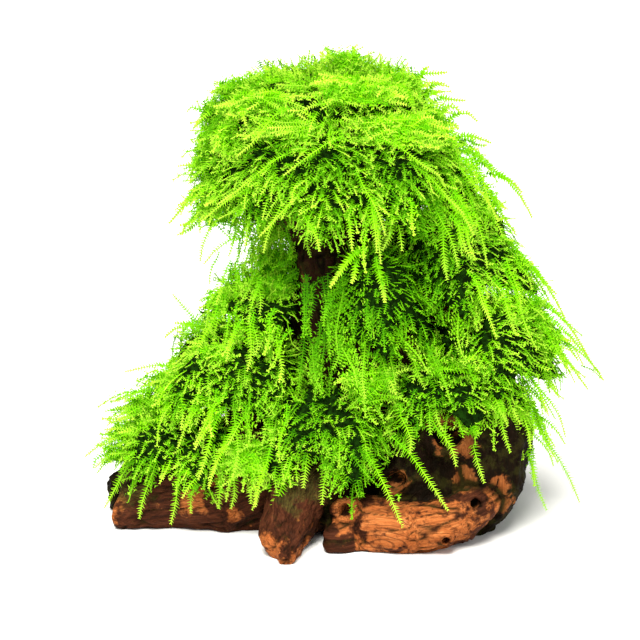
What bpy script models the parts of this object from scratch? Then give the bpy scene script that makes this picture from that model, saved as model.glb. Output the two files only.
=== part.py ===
"""Christmas moss on driftwood: a stump of driftwood with splayed roots, cut flat below, and the clumps of
drooping moss that grow on it. Metres, +Z up, +X to the right of the view, the front towards -Y. The origin
is on the flat cut under the stump, so the wood stands on z = 0."""

import math

import bmesh
import bpy
from mathutils import Matrix, Vector, noise

# Driving dimensions of the whole
CLEARANCE = 0.0004  # between two pieces that touch
MOST_AT_A_POINT = 3.0  # how many clearances the sharpest corner of a cutter may stand proud
EVENING_TURNS = 16  # steps in which a corner's way out is evened between its faces
EVENING_STEP = 0.2
WELD = 2e-7  # corners nearer than this are one corner
GRAIN_DEPTH = 0.07  # ridges along a limb, as a share of its radius
GRAIN_WAVES = ((5, 0.6, 1.4), (2, 0.4, -1.4))  # number round a limb, share, and twist in radians
END_ROUNDING = 0.82  # size of a limb's worn end ring, as a share of its full size
WOOD_LUMPS = 0.20  # swells and hollows of the wood, as a share of its radius
WOOD_LUMP_SIZE = 0.026
MOSS_LUMPS = 0.14  # swells of a moss clump, as a share of its reach
MOSS_LUMP_SIZE = 0.022
LOCK_RIDGE = 1.05  # reach of a clump along the spine of a lock, and in the valley beside it
LOCK_VALLEY = 0.90
LOCK_UNEVENNESS = 0.5  # how far locks differ in length, and in their place round the clump
HEM_VALLEY = 0.84  # reach of the hem between two lock tips, as a share of the dome's
UNDERSIDE_REACH = 0.50  # of the dome's
UNDERSIDE_DROP = 0.55  # of the way down to the lock tips
SPRAY_HALF_WIDTH = 0.0060  # a long single spray at its widest
SPRAY_THICKNESS = 0.40  # of its width
SPRAY_NOTCH = 0.58  # width between two side shoots, as a share of the width at them
SPRAY_RINGS = 6
SPRAY_TAPER = 0.6  # power by which the width falls to the tip
SPRAY_START = (0.45, -0.012)  # share of the way from the clump's heart to the tip, and the rise there
SPRAY_BEND = (0.78, 0.006)
SHARP_ANGLE = 40  # degrees between two faces past which their edge is shaded sharp

WOOD_FINISH = {"colour": (0.30, 0.12, 0.055, 1.0), "roughness": 0.62}
DARK_WOOD_FINISH = {"colour": (0.09, 0.055, 0.03, 1.0), "roughness": 0.7}
MOSS_FINISH = {"colour": (0.22, 0.52, 0.03, 1.0), "roughness": 0.55}

# Each limb: stations along its heart as (x, y, z, half width, half height), the direction that its height
# is measured along, and how many rings and sides its surface has.
UPRIGHT = (0.0, 1.0, 0.0)
LYING = (0.0, 0.0, 1.0)
LIMBS = {
    "driftwood_trunk": {
        "stations": [
            (0.016, 0.008, -0.006, 0.045, 0.038),
            (0.015, 0.008, 0.020, 0.045, 0.036),
            (0.013, 0.006, 0.050, 0.042, 0.033),
            (0.009, 0.003, 0.080, 0.038, 0.029),
            (0.003, 0.000, 0.108, 0.032, 0.025),
            (-0.003, -0.001, 0.132, 0.027, 0.022),
            (-0.007, 0.000, 0.156, 0.021, 0.018),
        ],
        "height_along": UPRIGHT,
        "rings": 10,
        "sides": 14,
    },
    "driftwood_burl": {
        "stations": [
            (0.034, 0.004, -0.008, 0.031, 0.037),
            (0.040, 0.002, 0.014, 0.040, 0.043),
            (0.048, -0.003, 0.036, 0.046, 0.046),
            (0.050, -0.008, 0.056, 0.043, 0.040),
            (0.044, -0.008, 0.076, 0.027, 0.026),
        ],
        "height_along": UPRIGHT,
        "rings": 8,
        "sides": 16,
    },
    "driftwood_left_root": {
        "stations": [
            (-0.004, -0.004, 0.052, 0.022, 0.030),
            (-0.036, -0.008, 0.034, 0.020, 0.032),
            (-0.064, -0.010, 0.022, 0.019, 0.024),
            (-0.092, -0.009, 0.017, 0.017, 0.020),
            (-0.112, -0.008, 0.014, 0.014, 0.017),
        ],
        "height_along": LYING,
        "rings": 10,
        "sides": 12,
    },
    "driftwood_rear_left_root": {
        "stations": [
            (-0.050, 0.006, 0.018, 0.013, 0.018),
            (-0.082, 0.012, 0.012, 0.012, 0.014),
            (-0.106, 0.012, 0.010, 0.010, 0.012),
            (-0.121, 0.009, 0.010, 0.008, 0.011),
        ],
        "height_along": LYING,
        "rings": 7,
        "sides": 10,
    },
    "driftwood_front_root": {
        "stations": [
            (-0.010, -0.012, 0.026, 0.019, 0.026),
            (-0.023, -0.030, 0.019, 0.016, 0.020),
            (-0.029, -0.050, 0.010, 0.011, 0.014),
            (-0.029, -0.068, 0.003, 0.0045, 0.007),
        ],
        "height_along": LYING,
        "rings": 8,
        "sides": 12,
    },
    "driftwood_burl_root": {
        "stations": [
            (-0.008, -0.026, 0.010, 0.009, 0.011),
            (0.009, -0.041, 0.011, 0.013, 0.014),
            (0.032, -0.047, 0.011, 0.015, 0.014),
            (0.053, -0.043, 0.014, 0.014, 0.014),
            (0.068, -0.031, 0.023, 0.012, 0.015),
            (0.080, -0.010, 0.033, 0.009, 0.014),
            (0.088, 0.012, 0.040, 0.006, 0.010),
        ],
        "height_along": LYING,
        "rings": 11,
        "sides": 10,
    },
    "driftwood_left_fork": {
        "stations": [
            (-0.009, 0.000, 0.140, 0.014, 0.014),
            (-0.026, -0.003, 0.164, 0.013, 0.013),
            (-0.044, -0.004, 0.184, 0.010, 0.011),
            (-0.056, -0.002, 0.198, 0.006, 0.007),
        ],
        "height_along": UPRIGHT,
        "rings": 6,
        "sides": 8,
    },
    "driftwood_right_fork": {
        "stations": [
            (-0.002, 0.002, 0.146, 0.015, 0.014),
            (0.007, 0.005, 0.176, 0.013, 0.013),
            (0.008, 0.008, 0.200, 0.010, 0.010),
            (0.002, 0.009, 0.220, 0.005, 0.005),
        ],
        "height_along": UPRIGHT,
        "rings": 6,
        "sides": 8,
    },
    "driftwood_side_branch": {
        "stations": [
            (0.014, 0.000, 0.122, 0.014, 0.013),
            (0.042, 0.001, 0.114, 0.012, 0.012),
            (0.064, 0.003, 0.098, 0.010, 0.010),
            (0.078, 0.004, 0.082, 0.006, 0.007),
        ],
        "height_along": UPRIGHT,
        "rings": 6,
        "sides": 8,
    },
    "driftwood_back_root": {
        "stations": [
            (0.004, 0.020, 0.030, 0.020, 0.026),
            (-0.010, 0.044, 0.018, 0.016, 0.020),
            (-0.022, 0.062, 0.009, 0.010, 0.013),
            (-0.028, 0.072, 0.004, 0.006, 0.008),
        ],
        "height_along": LYING,
        "rings": 8,
        "sides": 11,
    },
    "driftwood_rear_right_root": {
        "stations": [
            (0.052, 0.024, 0.020, 0.018, 0.022),
            (0.068, 0.042, 0.014, 0.014, 0.017),
            (0.080, 0.060, 0.008, 0.009, 0.011),
            (0.084, 0.070, 0.005, 0.005, 0.007),
        ],
        "height_along": LYING,
        "rings": 7,
        "sides": 10,
    },
}

# Knots in the wood: the limb, the middle of the mouth, the way it faces, its radius and how deep it goes.
KNOTS = [
    ("driftwood_burl", (0.050, -0.047, 0.059), (0.05, -0.85, 0.5), 0.0080, 0.012),
    ("driftwood_burl", (0.024, -0.043, 0.034), (-0.25, -0.9, 0.25), 0.0055, 0.007),
    ("driftwood_burl_root", (0.000, -0.045, 0.019), (-0.35, -0.8, 0.45), 0.0045, 0.008),
    ("driftwood_burl_root", (0.048, -0.059, 0.009), (0.1, -1.0, 0.0), 0.0028, 0.006),
    ("driftwood_burl_root", (0.062, -0.046, 0.023), (0.4, -0.8, 0.4), 0.0032, 0.006),
    ("driftwood_left_root", (-0.064, -0.022, 0.037), (-0.1, -0.7, 0.7), 0.0050, 0.006),
]
KNOT_SIDES = 8
KNOT_COLLAR = (2.03, 1.65, 1.28)  # radius over the hole's, at the raised collar's foot, middle and lip
KNOT_COLLAR_FOOT = 0.8  # how deep the collar is sunk, as a share of the hole's depth
KNOT_COLLAR_HEIGHT = 0.0022
KNOT_HOLE = ((0.35, -1.0), (0.8, -0.4), (1.1, 1.0))  # shares of the radius and depth, bottom to mouth
KNOT_OVALNESS = 0.12

# Each clump of moss is a dome of drooping locks round a heart (x, y, height of its top). Towards each
# side it has a reach and the height of its hem. Its locks run on past the hem, further out and down.
# "sprays" are the tips of the single long sprays that stand out of it. The clumps come from the top
# down, and each one lies over those after it.
MOSS = {
    "moss_crown_top": {
        "heart": (-0.008, 0.004, 0.240),
        "right": (0.054, 0.208),
        "back": (0.042, 0.200),
        "left": (0.058, 0.202),
        "front": (0.042, 0.198),
        "locks": 7,
        "lock_out": 0.004,
        "lock_down": 0.012,
        "sprays": [(0.048, 0.008, 0.227)],
    },
    "moss_crown": {
        "heart": (-0.008, 0.002, 0.226),
        "right": (0.074, 0.170),
        "back": (0.056, 0.158),
        "left": (0.067, 0.174),
        "front": (0.056, 0.166),
        "locks": 8,
        "lock_out": 0.004,
        "lock_down": 0.022,
        "sprays": [(0.088, 0.004, 0.157), (-0.072, -0.008, 0.138)],
    },
    "moss_right_shoulder": {
        "heart": (0.040, 0.001, 0.179),
        "right": (0.052, 0.126),
        "back": (0.040, 0.118),
        "left": (0.026, 0.140),
        "front": (0.040, 0.122),
        "locks": 5,
        "lock_out": 0.008,
        "lock_down": 0.020,
        "sprays": [(0.106, 0.002, 0.105)],
    },
    "moss_front_cascade": {
        "heart": (0.012, -0.022, 0.158),
        "right": (0.034, 0.118),
        "back": (0.010, 0.120),
        "left": (0.020, 0.116),
        "front": (0.028, 0.108),
        "locks": 5,
        "lock_out": 0.004,
        "lock_down": 0.030,
        "sprays": [],
    },
    "moss_right_skirt": {
        "heart": (0.060, 0.000, 0.132),
        "right": (0.047, 0.082),
        "back": (0.042, 0.074),
        "left": (0.030, 0.080),
        "front": (0.046, 0.086),
        "locks": 5,
        "lock_out": 0.008,
        "lock_down": 0.022,
        "sprays": [(0.127, -0.004, 0.074), (0.115, -0.020, 0.017)],
    },
    "moss_left_shelf": {
        "heart": (-0.036, -0.002, 0.134),
        "right": (0.024, 0.112),
        "back": (0.034, 0.104),
        "left": (0.036, 0.116),
        "front": (0.030, 0.108),
        "locks": 4,
        "lock_out": 0.006,
        "lock_down": 0.014,
        "sprays": [(-0.084, -0.005, 0.117)],
    },
    "moss_left_slope": {
        "heart": (-0.042, -0.004, 0.112),
        "right": (0.030, 0.074),
        "back": (0.044, 0.060),
        "left": (0.060, 0.076),
        "front": (0.042, 0.068),
        "locks": 5,
        "lock_out": 0.006,
        "lock_down": 0.020,
        "sprays": [(-0.113, -0.014, 0.069)],
    },
    "moss_burl_cap": {
        "heart": (0.050, -0.020, 0.104),
        "right": (0.044, 0.066),
        "back": (0.030, 0.070),
        "left": (0.034, 0.066),
        "front": (0.036, 0.070),
        "locks": 5,
        "lock_out": 0.005,
        "lock_down": 0.018,
        "sprays": [],
    },
    "moss_front_fringe": {
        "heart": (-0.008, -0.022, 0.092),
        "right": (0.036, 0.050),
        "back": (0.026, 0.060),
        "left": (0.040, 0.046),
        "front": (0.034, 0.046),
        "locks": 5,
        "lock_out": 0.005,
        "lock_down": 0.024,
        "sprays": [(0.030, -0.066, 0.022)],
    },
    "moss_left_skirt": {
        "heart": (-0.077, -0.008, 0.072),
        "right": (0.034, 0.040),
        "back": (0.036, 0.028),
        "left": (0.037, 0.038),
        "front": (0.032, 0.036),
        "locks": 5,
        "lock_out": 0.006,
        "lock_down": 0.020,
        "sprays": [(-0.129, -0.010, 0.034)],
    },
    "moss_back_upper": {
        "heart": (0.004, 0.026, 0.156),
        "right": (0.048, 0.112),
        "back": (0.040, 0.104),
        "left": (0.042, 0.112),
        "front": (0.020, 0.120),
        "locks": 5,
        "lock_out": 0.006,
        "lock_down": 0.024,
        "sprays": [],
    },
    "moss_back_left": {
        "heart": (-0.034, 0.030, 0.108),
        "right": (0.036, 0.052),
        "back": (0.040, 0.044),
        "left": (0.046, 0.056),
        "front": (0.028, 0.060),
        "locks": 5,
        "lock_out": 0.006,
        "lock_down": 0.026,
        "sprays": [],
    },
    "moss_back_right": {
        "heart": (0.046, 0.032, 0.108),
        "right": (0.048, 0.054),
        "back": (0.042, 0.046),
        "left": (0.034, 0.056),
        "front": (0.030, 0.060),
        "locks": 5,
        "lock_out": 0.006,
        "lock_down": 0.026,
        "sprays": [],
    },
}
DOME_ANGLES = (14, 38, 64, 92)  # degrees from straight up at which a dome has its rings
DOME_SQUARENESS = 0.82  # 1 is a round dome, and less is a squarer one


def clear_scene():
    for obj in list(bpy.data.objects):
        bpy.data.objects.remove(obj)


def finish_of(name, colour, roughness):
    finish = bpy.data.materials.new(name)
    finish.use_nodes = True
    shader = finish.node_tree.nodes["Principled BSDF"]
    shader.inputs["Base Color"].default_value = colour
    shader.inputs["Roughness"].default_value = roughness
    shader.inputs["Metallic"].default_value = 0.0
    return finish


def object_from(name, bm):
    """Turns a bmesh into an object in the scene."""
    mesh = bpy.data.meshes.new(name)
    bmesh.ops.recalc_face_normals(bm, faces=bm.faces)
    bm.to_mesh(mesh)
    bm.free()
    obj = bpy.data.objects.new(name, mesh)
    bpy.context.scene.collection.objects.link(obj)
    return obj


def discard(obj):
    mesh = obj.data
    bpy.data.objects.remove(obj)
    bpy.data.meshes.remove(mesh)


def weld(mesh):
    """Joins corners that lie on each other, and leaves only triangles."""
    bm = bmesh.new()
    bm.from_mesh(mesh)
    bmesh.ops.remove_doubles(bm, verts=bm.verts, dist=WELD)
    bmesh.ops.dissolve_degenerate(bm, dist=WELD, edges=bm.edges)
    bmesh.ops.triangulate(bm, faces=bm.faces)
    bm.to_mesh(mesh)
    bm.free()


def combine(target, other, operation):
    """Applies a Boolean with another object to the target's mesh. Where the quick way finds nothing
    left, the slower way that allows for surfaces that touch themselves is used."""
    modifier = target.modifiers.new("combine", "BOOLEAN")
    modifier.operation = operation
    modifier.object = other
    for modifier.use_self in (False, True):
        graph = bpy.context.evaluated_depsgraph_get()
        made = bpy.data.meshes.new_from_object(target.evaluated_get(graph))
        if made.polygons:
            break
    target.modifiers.remove(modifier)
    old = target.data
    target.data = made
    made.name = target.name
    bpy.data.meshes.remove(old)


def way_out(vert):
    """The move that takes all the faces of a corner outwards by one, as evenly as its sharpness lets it."""
    normals = [face.normal for face in vert.link_faces]
    way = vert.normal.copy()
    for turn in range(EVENING_TURNS):
        least = min(normals, key=way.dot)
        way = (way + least * EVENING_STEP).normalized()
    least = min(normals, key=way.dot)
    return way / max(way.dot(least), 1 / MOST_AT_A_POINT)


def grown_copy(obj, by):
    """A copy of the object whose surface stands further out all over."""
    bm = bmesh.new()
    bm.from_mesh(obj.data)
    bm.normal_update()
    moves = [way_out(vert) * by for vert in bm.verts]
    for vert, move in zip(bm.verts, moves):
        vert.co += move
    return object_from("grown", bm)


def bounds_of(obj):
    corners = [vert.co for vert in obj.data.vertices]
    low = Vector(min(corner[axis] for corner in corners) for axis in range(3))
    high = Vector(max(corner[axis] for corner in corners) for axis in range(3))
    return low, high


def meet(first, second):
    """Whether the boxes round two objects meet."""
    low_a, high_a = bounds_of(first)
    low_b, high_b = bounds_of(second)
    return all(low_a[axis] <= high_b[axis] and low_b[axis] <= high_a[axis] for axis in range(3))


def joined(name, parts):
    """One body made of several that overlap."""
    whole = grown_copy(parts[0], 0.0)
    whole.name = name
    for part in parts[1:]:
        combine(whole, part, "UNION")
        keep_main_body(whole)
    return whole


def cut_round(obj, cutters):
    """Cuts the earlier pieces out of the object: their cutters stand proud of them by the clearance."""
    for cutter in cutters:
        if meet(obj, cutter):
            combine(obj, cutter, "DIFFERENCE")
    keep_main_body(obj)


def islands_of(bm):
    left = set(bm.verts)
    islands = []
    while left:
        front = [left.pop()]
        island = list(front)
        while front:
            vert = front.pop()
            for edge in vert.link_edges:
                other = edge.other_vert(vert)
                if other in left:
                    left.remove(other)
                    front.append(other)
                    island.append(other)
        islands.append(island)
    return islands


def keep_main_body(obj):
    """Drops the crumbs that cutting leaves."""
    weld(obj.data)
    bm = bmesh.new()
    bm.from_mesh(obj.data)
    islands = sorted(islands_of(bm), key=len)
    for island in islands[:-1]:
        bmesh.ops.delete(bm, geom=island, context="VERTS")
    bm.to_mesh(obj.data)
    bm.free()


def flatten_below(bm, height):
    """Cuts everything below a height off, and closes the cut with a flat face."""
    geometry = [*bm.verts, *bm.edges, *bm.faces]
    cut = bmesh.ops.bisect_plane(
        bm, geom=geometry, plane_co=(0, 0, height), plane_no=(0, 0, -1), clear_outer=True
    )
    rim = [item for item in cut["geom_cut"] if isinstance(item, bmesh.types.BMEdge)]
    if rim:
        bmesh.ops.edgeloop_fill(bm, edges=rim)
    bmesh.ops.triangulate(bm, faces=bm.faces)


def smooth_between(stations, count):
    """Values read along a Catmull-Rom curve through the stations, at even steps."""
    last = len(stations) - 1
    made = []
    for step in range(count):
        place = step / (count - 1) * last
        index = min(int(place), last - 1)
        t = place - index
        before = stations[max(index - 1, 0)]
        start = stations[index]
        end = stations[index + 1]
        after = stations[min(index + 2, last)]
        made.append(
            tuple(
                0.5
                * (
                    2 * b
                    + (c - a) * t
                    + (2 * a - 5 * b + 4 * c - d) * t * t
                    + (3 * b - a - 3 * c + d) * t * t * t
                )
                for a, b, c, d in zip(before, start, end, after)
            )
        )
    return made


def skin(bm, loops):
    """Closes a row of vertex loops into one body, with a flat face at each end."""
    for first, second in zip(loops, loops[1:]):
        count = len(first)
        for index in range(count):
            following = (index + 1) % count
            bm.faces.new((first[index], first[following], second[following], second[index]))
    bm.faces.new(loops[0])
    bm.faces.new(loops[-1])


def make_limb(name, stations, height_along, rings, sides):
    """A limb of wood: grained, lumpy, with a worn round end, cut flat where it would pass the floor."""
    bm = bmesh.new()
    heart = smooth_between(stations, rings)
    seed = Vector((stations[0][0], stations[-1][1], stations[-1][2])) * 40
    loops = []
    for ring, (x, y, z, half_width, half_height) in enumerate(heart):
        middle = Vector((x, y, z))
        ahead = Vector(heart[min(ring + 1, rings - 1)][:3]) - Vector(heart[max(ring - 1, 0)][:3])
        ahead.normalize()
        up = Vector(height_along)
        up = (up - ahead * up.dot(ahead)).normalized()
        side = ahead.cross(up)
        rounding = END_ROUNDING if ring in (0, rings - 1) else 1.0
        loop = []
        for index in range(sides):
            angle = math.tau * index / sides
            ridges = sum(
                share * math.sin(number * angle + twist * ring / rings)
                for number, share, twist in GRAIN_WAVES
            )
            spot = middle / WOOD_LUMP_SIZE + Vector((math.cos(angle), math.sin(angle), 0)) + seed
            swell = noise.noise(spot)
            size = rounding * (1 + GRAIN_DEPTH * ridges + WOOD_LUMPS * swell)
            across = side * math.cos(angle) * half_width + up * math.sin(angle) * half_height
            loop.append(bm.verts.new(middle + across * size))
        loops.append(loop)
    skin(bm, loops)
    flatten_below(bm, 0.0)
    return object_from(name, bm)


def turned(middle, facing, profile, sides):
    """A closed round body about an axis through middle along facing: profile holds (radius, height)."""
    bm = bmesh.new()
    to_place = Matrix.Translation(middle) @ facing.to_track_quat("Z", "Y").to_matrix().to_4x4()
    loops = []
    for radius, height in profile:
        loop = []
        for index in range(sides):
            angle = math.tau * index / sides
            wobble = 1 + KNOT_OVALNESS * math.sin(2 * angle + 1)
            point = Vector((math.cos(angle) * radius * wobble, math.sin(angle) * radius, height))
            loop.append(bm.verts.new(to_place @ point))
        loops.append(loop)
    skin(bm, loops)
    return object_from("turned", bm)


def knot_collar(middle, facing, radius, depth):
    """The raised collar round a knot."""
    heights = (-depth * KNOT_COLLAR_FOOT, 0.0, KNOT_COLLAR_HEIGHT)
    profile = [(radius * over, height) for over, height in zip(KNOT_COLLAR, heights)]
    return turned(Vector(middle), Vector(facing).normalized(), profile, KNOT_SIDES)


def knot_hole(middle, facing, radius, depth):
    """The tapering hole in a knot."""
    profile = [(radius * across, depth * along) for across, along in KNOT_HOLE]
    return turned(Vector(middle), Vector(facing).normalized(), profile, KNOT_SIDES)


def towards(azimuth, right, back, left, front):
    """A clump's reach and hem height in one direction, between those of its sides."""
    side = right if math.cos(azimuth) > 0 else left
    end = back if math.sin(azimuth) > 0 else front
    across = math.cos(azimuth) ** 2
    along = math.sin(azimuth) ** 2
    reach = 1 / math.sqrt(across / side[0] ** 2 + along / end[0] ** 2)
    return reach, side[1] * across + end[1] * along


def make_dome(name, heart, locks, lock_out, lock_down, **sides):
    """A clump's dome: pleated into locks from its top, with each lock's point below the hem."""
    bm = bmesh.new()
    heart = Vector(heart)
    rows = [[] for ring in range(len(DOME_ANGLES) + 2)]
    for column in range(2 * locks):
        on_spine = column % 2 == 0
        chance = noise.noise(heart * 90 + Vector((column * 1.7, 0, 0)))
        azimuth = math.tau * (column + LOCK_UNEVENNESS * chance) / (2 * locks)
        out = Vector((math.cos(azimuth), math.sin(azimuth), 0))
        reach, hem = towards(azimuth, **sides)
        height = heart.z - hem
        middle = heart - Vector((0, 0, height))
        pleat = LOCK_RIDGE if on_spine else LOCK_VALLEY
        for row, angle in zip(rows, DOME_ANGLES):
            across = math.sin(math.radians(angle)) ** DOME_SQUARENESS
            up = math.cos(math.radians(min(angle, 90))) ** DOME_SQUARENESS
            offset = out * (reach * across) + Vector((0, 0, height * up))
            swell = 1 + MOSS_LUMPS * noise.noise((middle + offset) / MOSS_LUMP_SIZE)
            row.append(middle + offset * (1 + (pleat - 1) * across) * swell)
        edge = row[-1] - middle
        if on_spine:
            drop = lock_down * (1 + LOCK_UNEVENNESS * chance)
            rows[-2].append(middle + edge + out * lock_out - Vector((0, 0, drop)))
        else:
            rows[-2].append(middle + edge * HEM_VALLEY)
        rows[-1].append(middle + edge * UNDERSIDE_REACH - Vector((0, 0, lock_down * UNDERSIDE_DROP)))
    skin(bm, [[bm.verts.new(place) for place in row] for row in rows])
    bmesh.ops.triangulate(bm, faces=bm.faces)
    return object_from(name, bm)


def make_spray(start, bend, tip):
    """A drooping spray of moss: a flat tapering tongue, notched between its side shoots."""
    bm = bmesh.new()
    loops = []
    outward = Vector((tip.x - start.x, tip.y - start.y, 0)) or Vector((0, -1, 0))
    side = Vector((-outward.y, outward.x, 0)).normalized()
    for ring in range(SPRAY_RINGS):
        t = ring / (SPRAY_RINGS - 1)
        place = start * (1 - t) ** 2 + bend * 2 * t * (1 - t) + tip * t * t
        ahead = ((bend - start) * (1 - t) + (tip - bend) * t).normalized()
        above = side.cross(ahead)
        notch = SPRAY_NOTCH if ring % 2 else 1.0
        half_width = SPRAY_HALF_WIDTH * notch * (1.04 - t) ** SPRAY_TAPER
        thick = SPRAY_HALF_WIDTH * SPRAY_THICKNESS * (1.1 - t)
        corners = [side * half_width, above * thick, -side * half_width, -above * thick]
        loops.append([bm.verts.new(place + corner) for corner in corners])
    skin(bm, loops)
    bmesh.ops.triangulate(bm, faces=bm.faces)
    return object_from("spray", bm)


def clump_parts(name, heart, sprays, **shape):
    """The dome of a clump and its long single sprays."""
    heart = Vector(heart)
    parts = [make_dome(name, heart, **shape)]
    for tip in sprays:
        tip = Vector(tip)
        start, bend = (
            heart.lerp(tip, along) + Vector((0, 0, rise)) for along, rise in (SPRAY_START, SPRAY_BEND)
        )
        parts.append(make_spray(start, bend, tip))
    return parts


def finish_piece(obj, finish):
    obj.data.materials.clear()
    obj.data.materials.append(finish)
    obj.data.shade_smooth()
    obj.data.set_sharp_from_angle(angle=math.radians(SHARP_ANGLE))


def main():
    clear_scene()
    wood = finish_of("driftwood", **WOOD_FINISH)
    dark_wood = finish_of("dark_driftwood", **DARK_WOOD_FINISH)
    moss = finish_of("moss", **MOSS_FINISH)
    cutters = []

    def add_piece(name, parts, holes, finish):
        piece = joined(name, parts)
        for hole in holes:
            combine(piece, hole, "DIFFERENCE")
        cut_round(piece, cutters)
        finish_piece(piece, finish)
        grown_parts = [grown_copy(part, CLEARANCE) for part in parts]
        cutters.append(joined("cutter", grown_parts))
        for spent in [*parts, *holes, *grown_parts]:
            discard(spent)

    for name, limb in LIMBS.items():
        knots = [knot for knot_limb, *knot in KNOTS if knot_limb == name]
        parts = [make_limb("heartwood", **limb), *[knot_collar(*knot) for knot in knots]]
        holes = [knot_hole(*knot) for knot in knots]
        add_piece(name, parts, holes, dark_wood if "rear" in name else wood)
    for name, clump in MOSS.items():
        add_piece(name, clump_parts("dome", **clump), [], moss)
    for cutter in cutters:
        discard(cutter)


main()
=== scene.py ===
import math
import random

import bmesh
import bpy
import numpy as np
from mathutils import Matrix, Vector, noise
from mathutils.bvhtree import BVHTree


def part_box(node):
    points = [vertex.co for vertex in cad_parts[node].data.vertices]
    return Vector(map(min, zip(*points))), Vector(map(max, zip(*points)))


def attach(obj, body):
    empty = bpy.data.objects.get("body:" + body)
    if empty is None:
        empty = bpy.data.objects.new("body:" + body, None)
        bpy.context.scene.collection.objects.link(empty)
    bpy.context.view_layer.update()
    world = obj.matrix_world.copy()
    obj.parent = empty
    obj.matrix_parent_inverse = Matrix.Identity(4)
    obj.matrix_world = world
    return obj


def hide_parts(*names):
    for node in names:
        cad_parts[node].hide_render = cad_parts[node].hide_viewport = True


# Christmas moss on driftwood. Metres, +Z up, the front towards -Y, the wood stands on z = 0.
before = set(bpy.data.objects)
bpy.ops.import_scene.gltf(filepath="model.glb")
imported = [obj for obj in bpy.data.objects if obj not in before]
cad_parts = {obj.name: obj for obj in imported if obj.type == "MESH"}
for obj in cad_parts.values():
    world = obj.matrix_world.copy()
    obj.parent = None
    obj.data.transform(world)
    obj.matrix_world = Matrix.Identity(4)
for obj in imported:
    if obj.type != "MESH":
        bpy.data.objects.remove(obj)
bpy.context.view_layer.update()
upward = Vector((0, 0, 1))
print("frame loaded:", len(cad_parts), "nodes")


# Nodes

# A socket in a node tree. Sums and products of sockets and numbers make Math nodes.
class Wire:
    def __init__(self, wiring, socket):
        self.wiring = wiring
        self.socket = socket

    def out(self, name):
        return Wire(self.wiring, self.socket.node.outputs[name])

    def math(self, operation, first, second=0.0, clamp=False):
        settings = {"operation": operation, "use_clamp": clamp}
        return self.wiring.node("ShaderNodeMath", settings, {0: first, 1: second})

    def __add__(self, other):
        return self.math("ADD", self, other)

    def __sub__(self, other):
        return self.math("SUBTRACT", self, other)

    def __rsub__(self, other):
        return self.math("SUBTRACT", other, self)

    def __mul__(self, other):
        return self.math("MULTIPLY", self, other)

    __radd__ = __add__
    __rmul__ = __mul__

    def absolute(self):
        return self.math("ABSOLUTE", self)

    def sine(self):
        return self.math("SINE", self)

    def cosine(self):
        return self.math("COSINE", self)

    def clamped(self):
        return self.math("ADD", self, clamp=True)

    # 0 below low, 1 above high, and a soft step between them
    def step(self, low, high):
        inputs = {"Value": self, "From Min": low, "From Max": high}
        return self.wiring.node("ShaderNodeMapRange", {"interpolation_type": "SMOOTHSTEP"}, inputs)


# A node tree under construction
class Wiring:
    def __init__(self, tree):
        self.tree = tree

    # A node from its type, its settings, which are set first, and the values or links of its sockets. A list
    # of links goes into one socket. The result is the output of the given name or number.
    def node(self, kind, settings=None, inputs=None, output=0):
        made = self.tree.nodes.new(kind)
        for key, value in (settings or {}).items():
            if key == "stops":
                self.fillRamp(made.color_ramp, value)
            else:
                setattr(made, key, value)
        for key, value in (inputs or {}).items():
            for item in value if isinstance(value, list) else [value]:
                if isinstance(item, Wire):
                    self.tree.links.new(item.socket, made.inputs[key])
                else:
                    made.inputs[key].default_value = item
        return Wire(self, made.outputs[output]) if len(made.outputs) else made

    def fillRamp(self, ramp, stops):
        while len(ramp.elements) > 1:
            ramp.elements.remove(ramp.elements[-1])
        for index, (place, colour) in enumerate(stops):
            element = ramp.elements[0] if index == 0 else ramp.elements.new(place)
            element.position = place
            element.color = (*colour, 1.0)

    # Two colours by a share
    def blend(self, share, first, second, how="MIX"):
        settings = {"data_type": "RGBA", "blend_type": how}
        return self.node("ShaderNodeMix", settings, {0: share, 6: first, 7: second}, 2)


def emptyMaterial(name):
    material = bpy.data.materials.new(name)
    material.use_nodes = True
    material.node_tree.nodes.clear()
    return material, Wiring(material.node_tree)


# Camera, light and floor

studio = {
    "target": (-0.013, 0.0, 0.104),
    "distance": 1.3,
    "elevation": 15.0,  # degrees that the camera looks down by
    "seenWidth": 0.320,  # metres across the frame at the target
    "sensor": 36.0,
    "floorColour": (0.88, 0.87, 0.85),
    "floorReach": 8.0,
    "skyStrength": 0.32,
    "lights": {
        # direction that it shines from, its width in degrees, strength, colour
        "key": ((-0.14, -0.66, 1.0), 32.0, 7.2, (1.0, 0.99, 0.94)),
        "fill": ((0.60, -0.80, 0.35), 60.0, 1.2, (1.0, 1.0, 1.0)),
    },
}


def makeCamera(values):
    camera = bpy.data.objects.new("camera", bpy.data.cameras.new("camera"))
    bpy.context.scene.collection.objects.link(camera)
    tilt = math.radians(values["elevation"])
    back = Vector((0, -math.cos(tilt), math.sin(tilt)))
    camera.location = Vector(values["target"]) + back * values["distance"]
    camera.rotation_euler = (math.pi / 2 - tilt, 0, 0)
    camera.data.sensor_width = values["sensor"]
    camera.data.lens = values["sensor"] * values["distance"] / values["seenWidth"]
    bpy.context.scene.camera = camera


def makeLights(values):
    for name, (way, width, strength, colour) in values["lights"].items():
        lamp = bpy.data.lights.new(name, "SUN")
        lamp.angle = math.radians(width)
        lamp.energy = strength
        lamp.color = colour
        holder = bpy.data.objects.new(name, lamp)
        bpy.context.scene.collection.objects.link(holder)
        holder.location = way
        holder.rotation_euler = (-Vector(way)).to_track_quat("-Z", "Y").to_euler()
    world = bpy.data.worlds.new("studio")
    world.use_nodes = True
    sky = world.node_tree.nodes["Background"]
    sky.inputs["Color"].default_value = (1.0, 1.0, 1.0, 1.0)
    sky.inputs["Strength"].default_value = values["skyStrength"]
    bpy.context.scene.world = world
    bpy.context.scene.view_settings.view_transform = "Standard"


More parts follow.
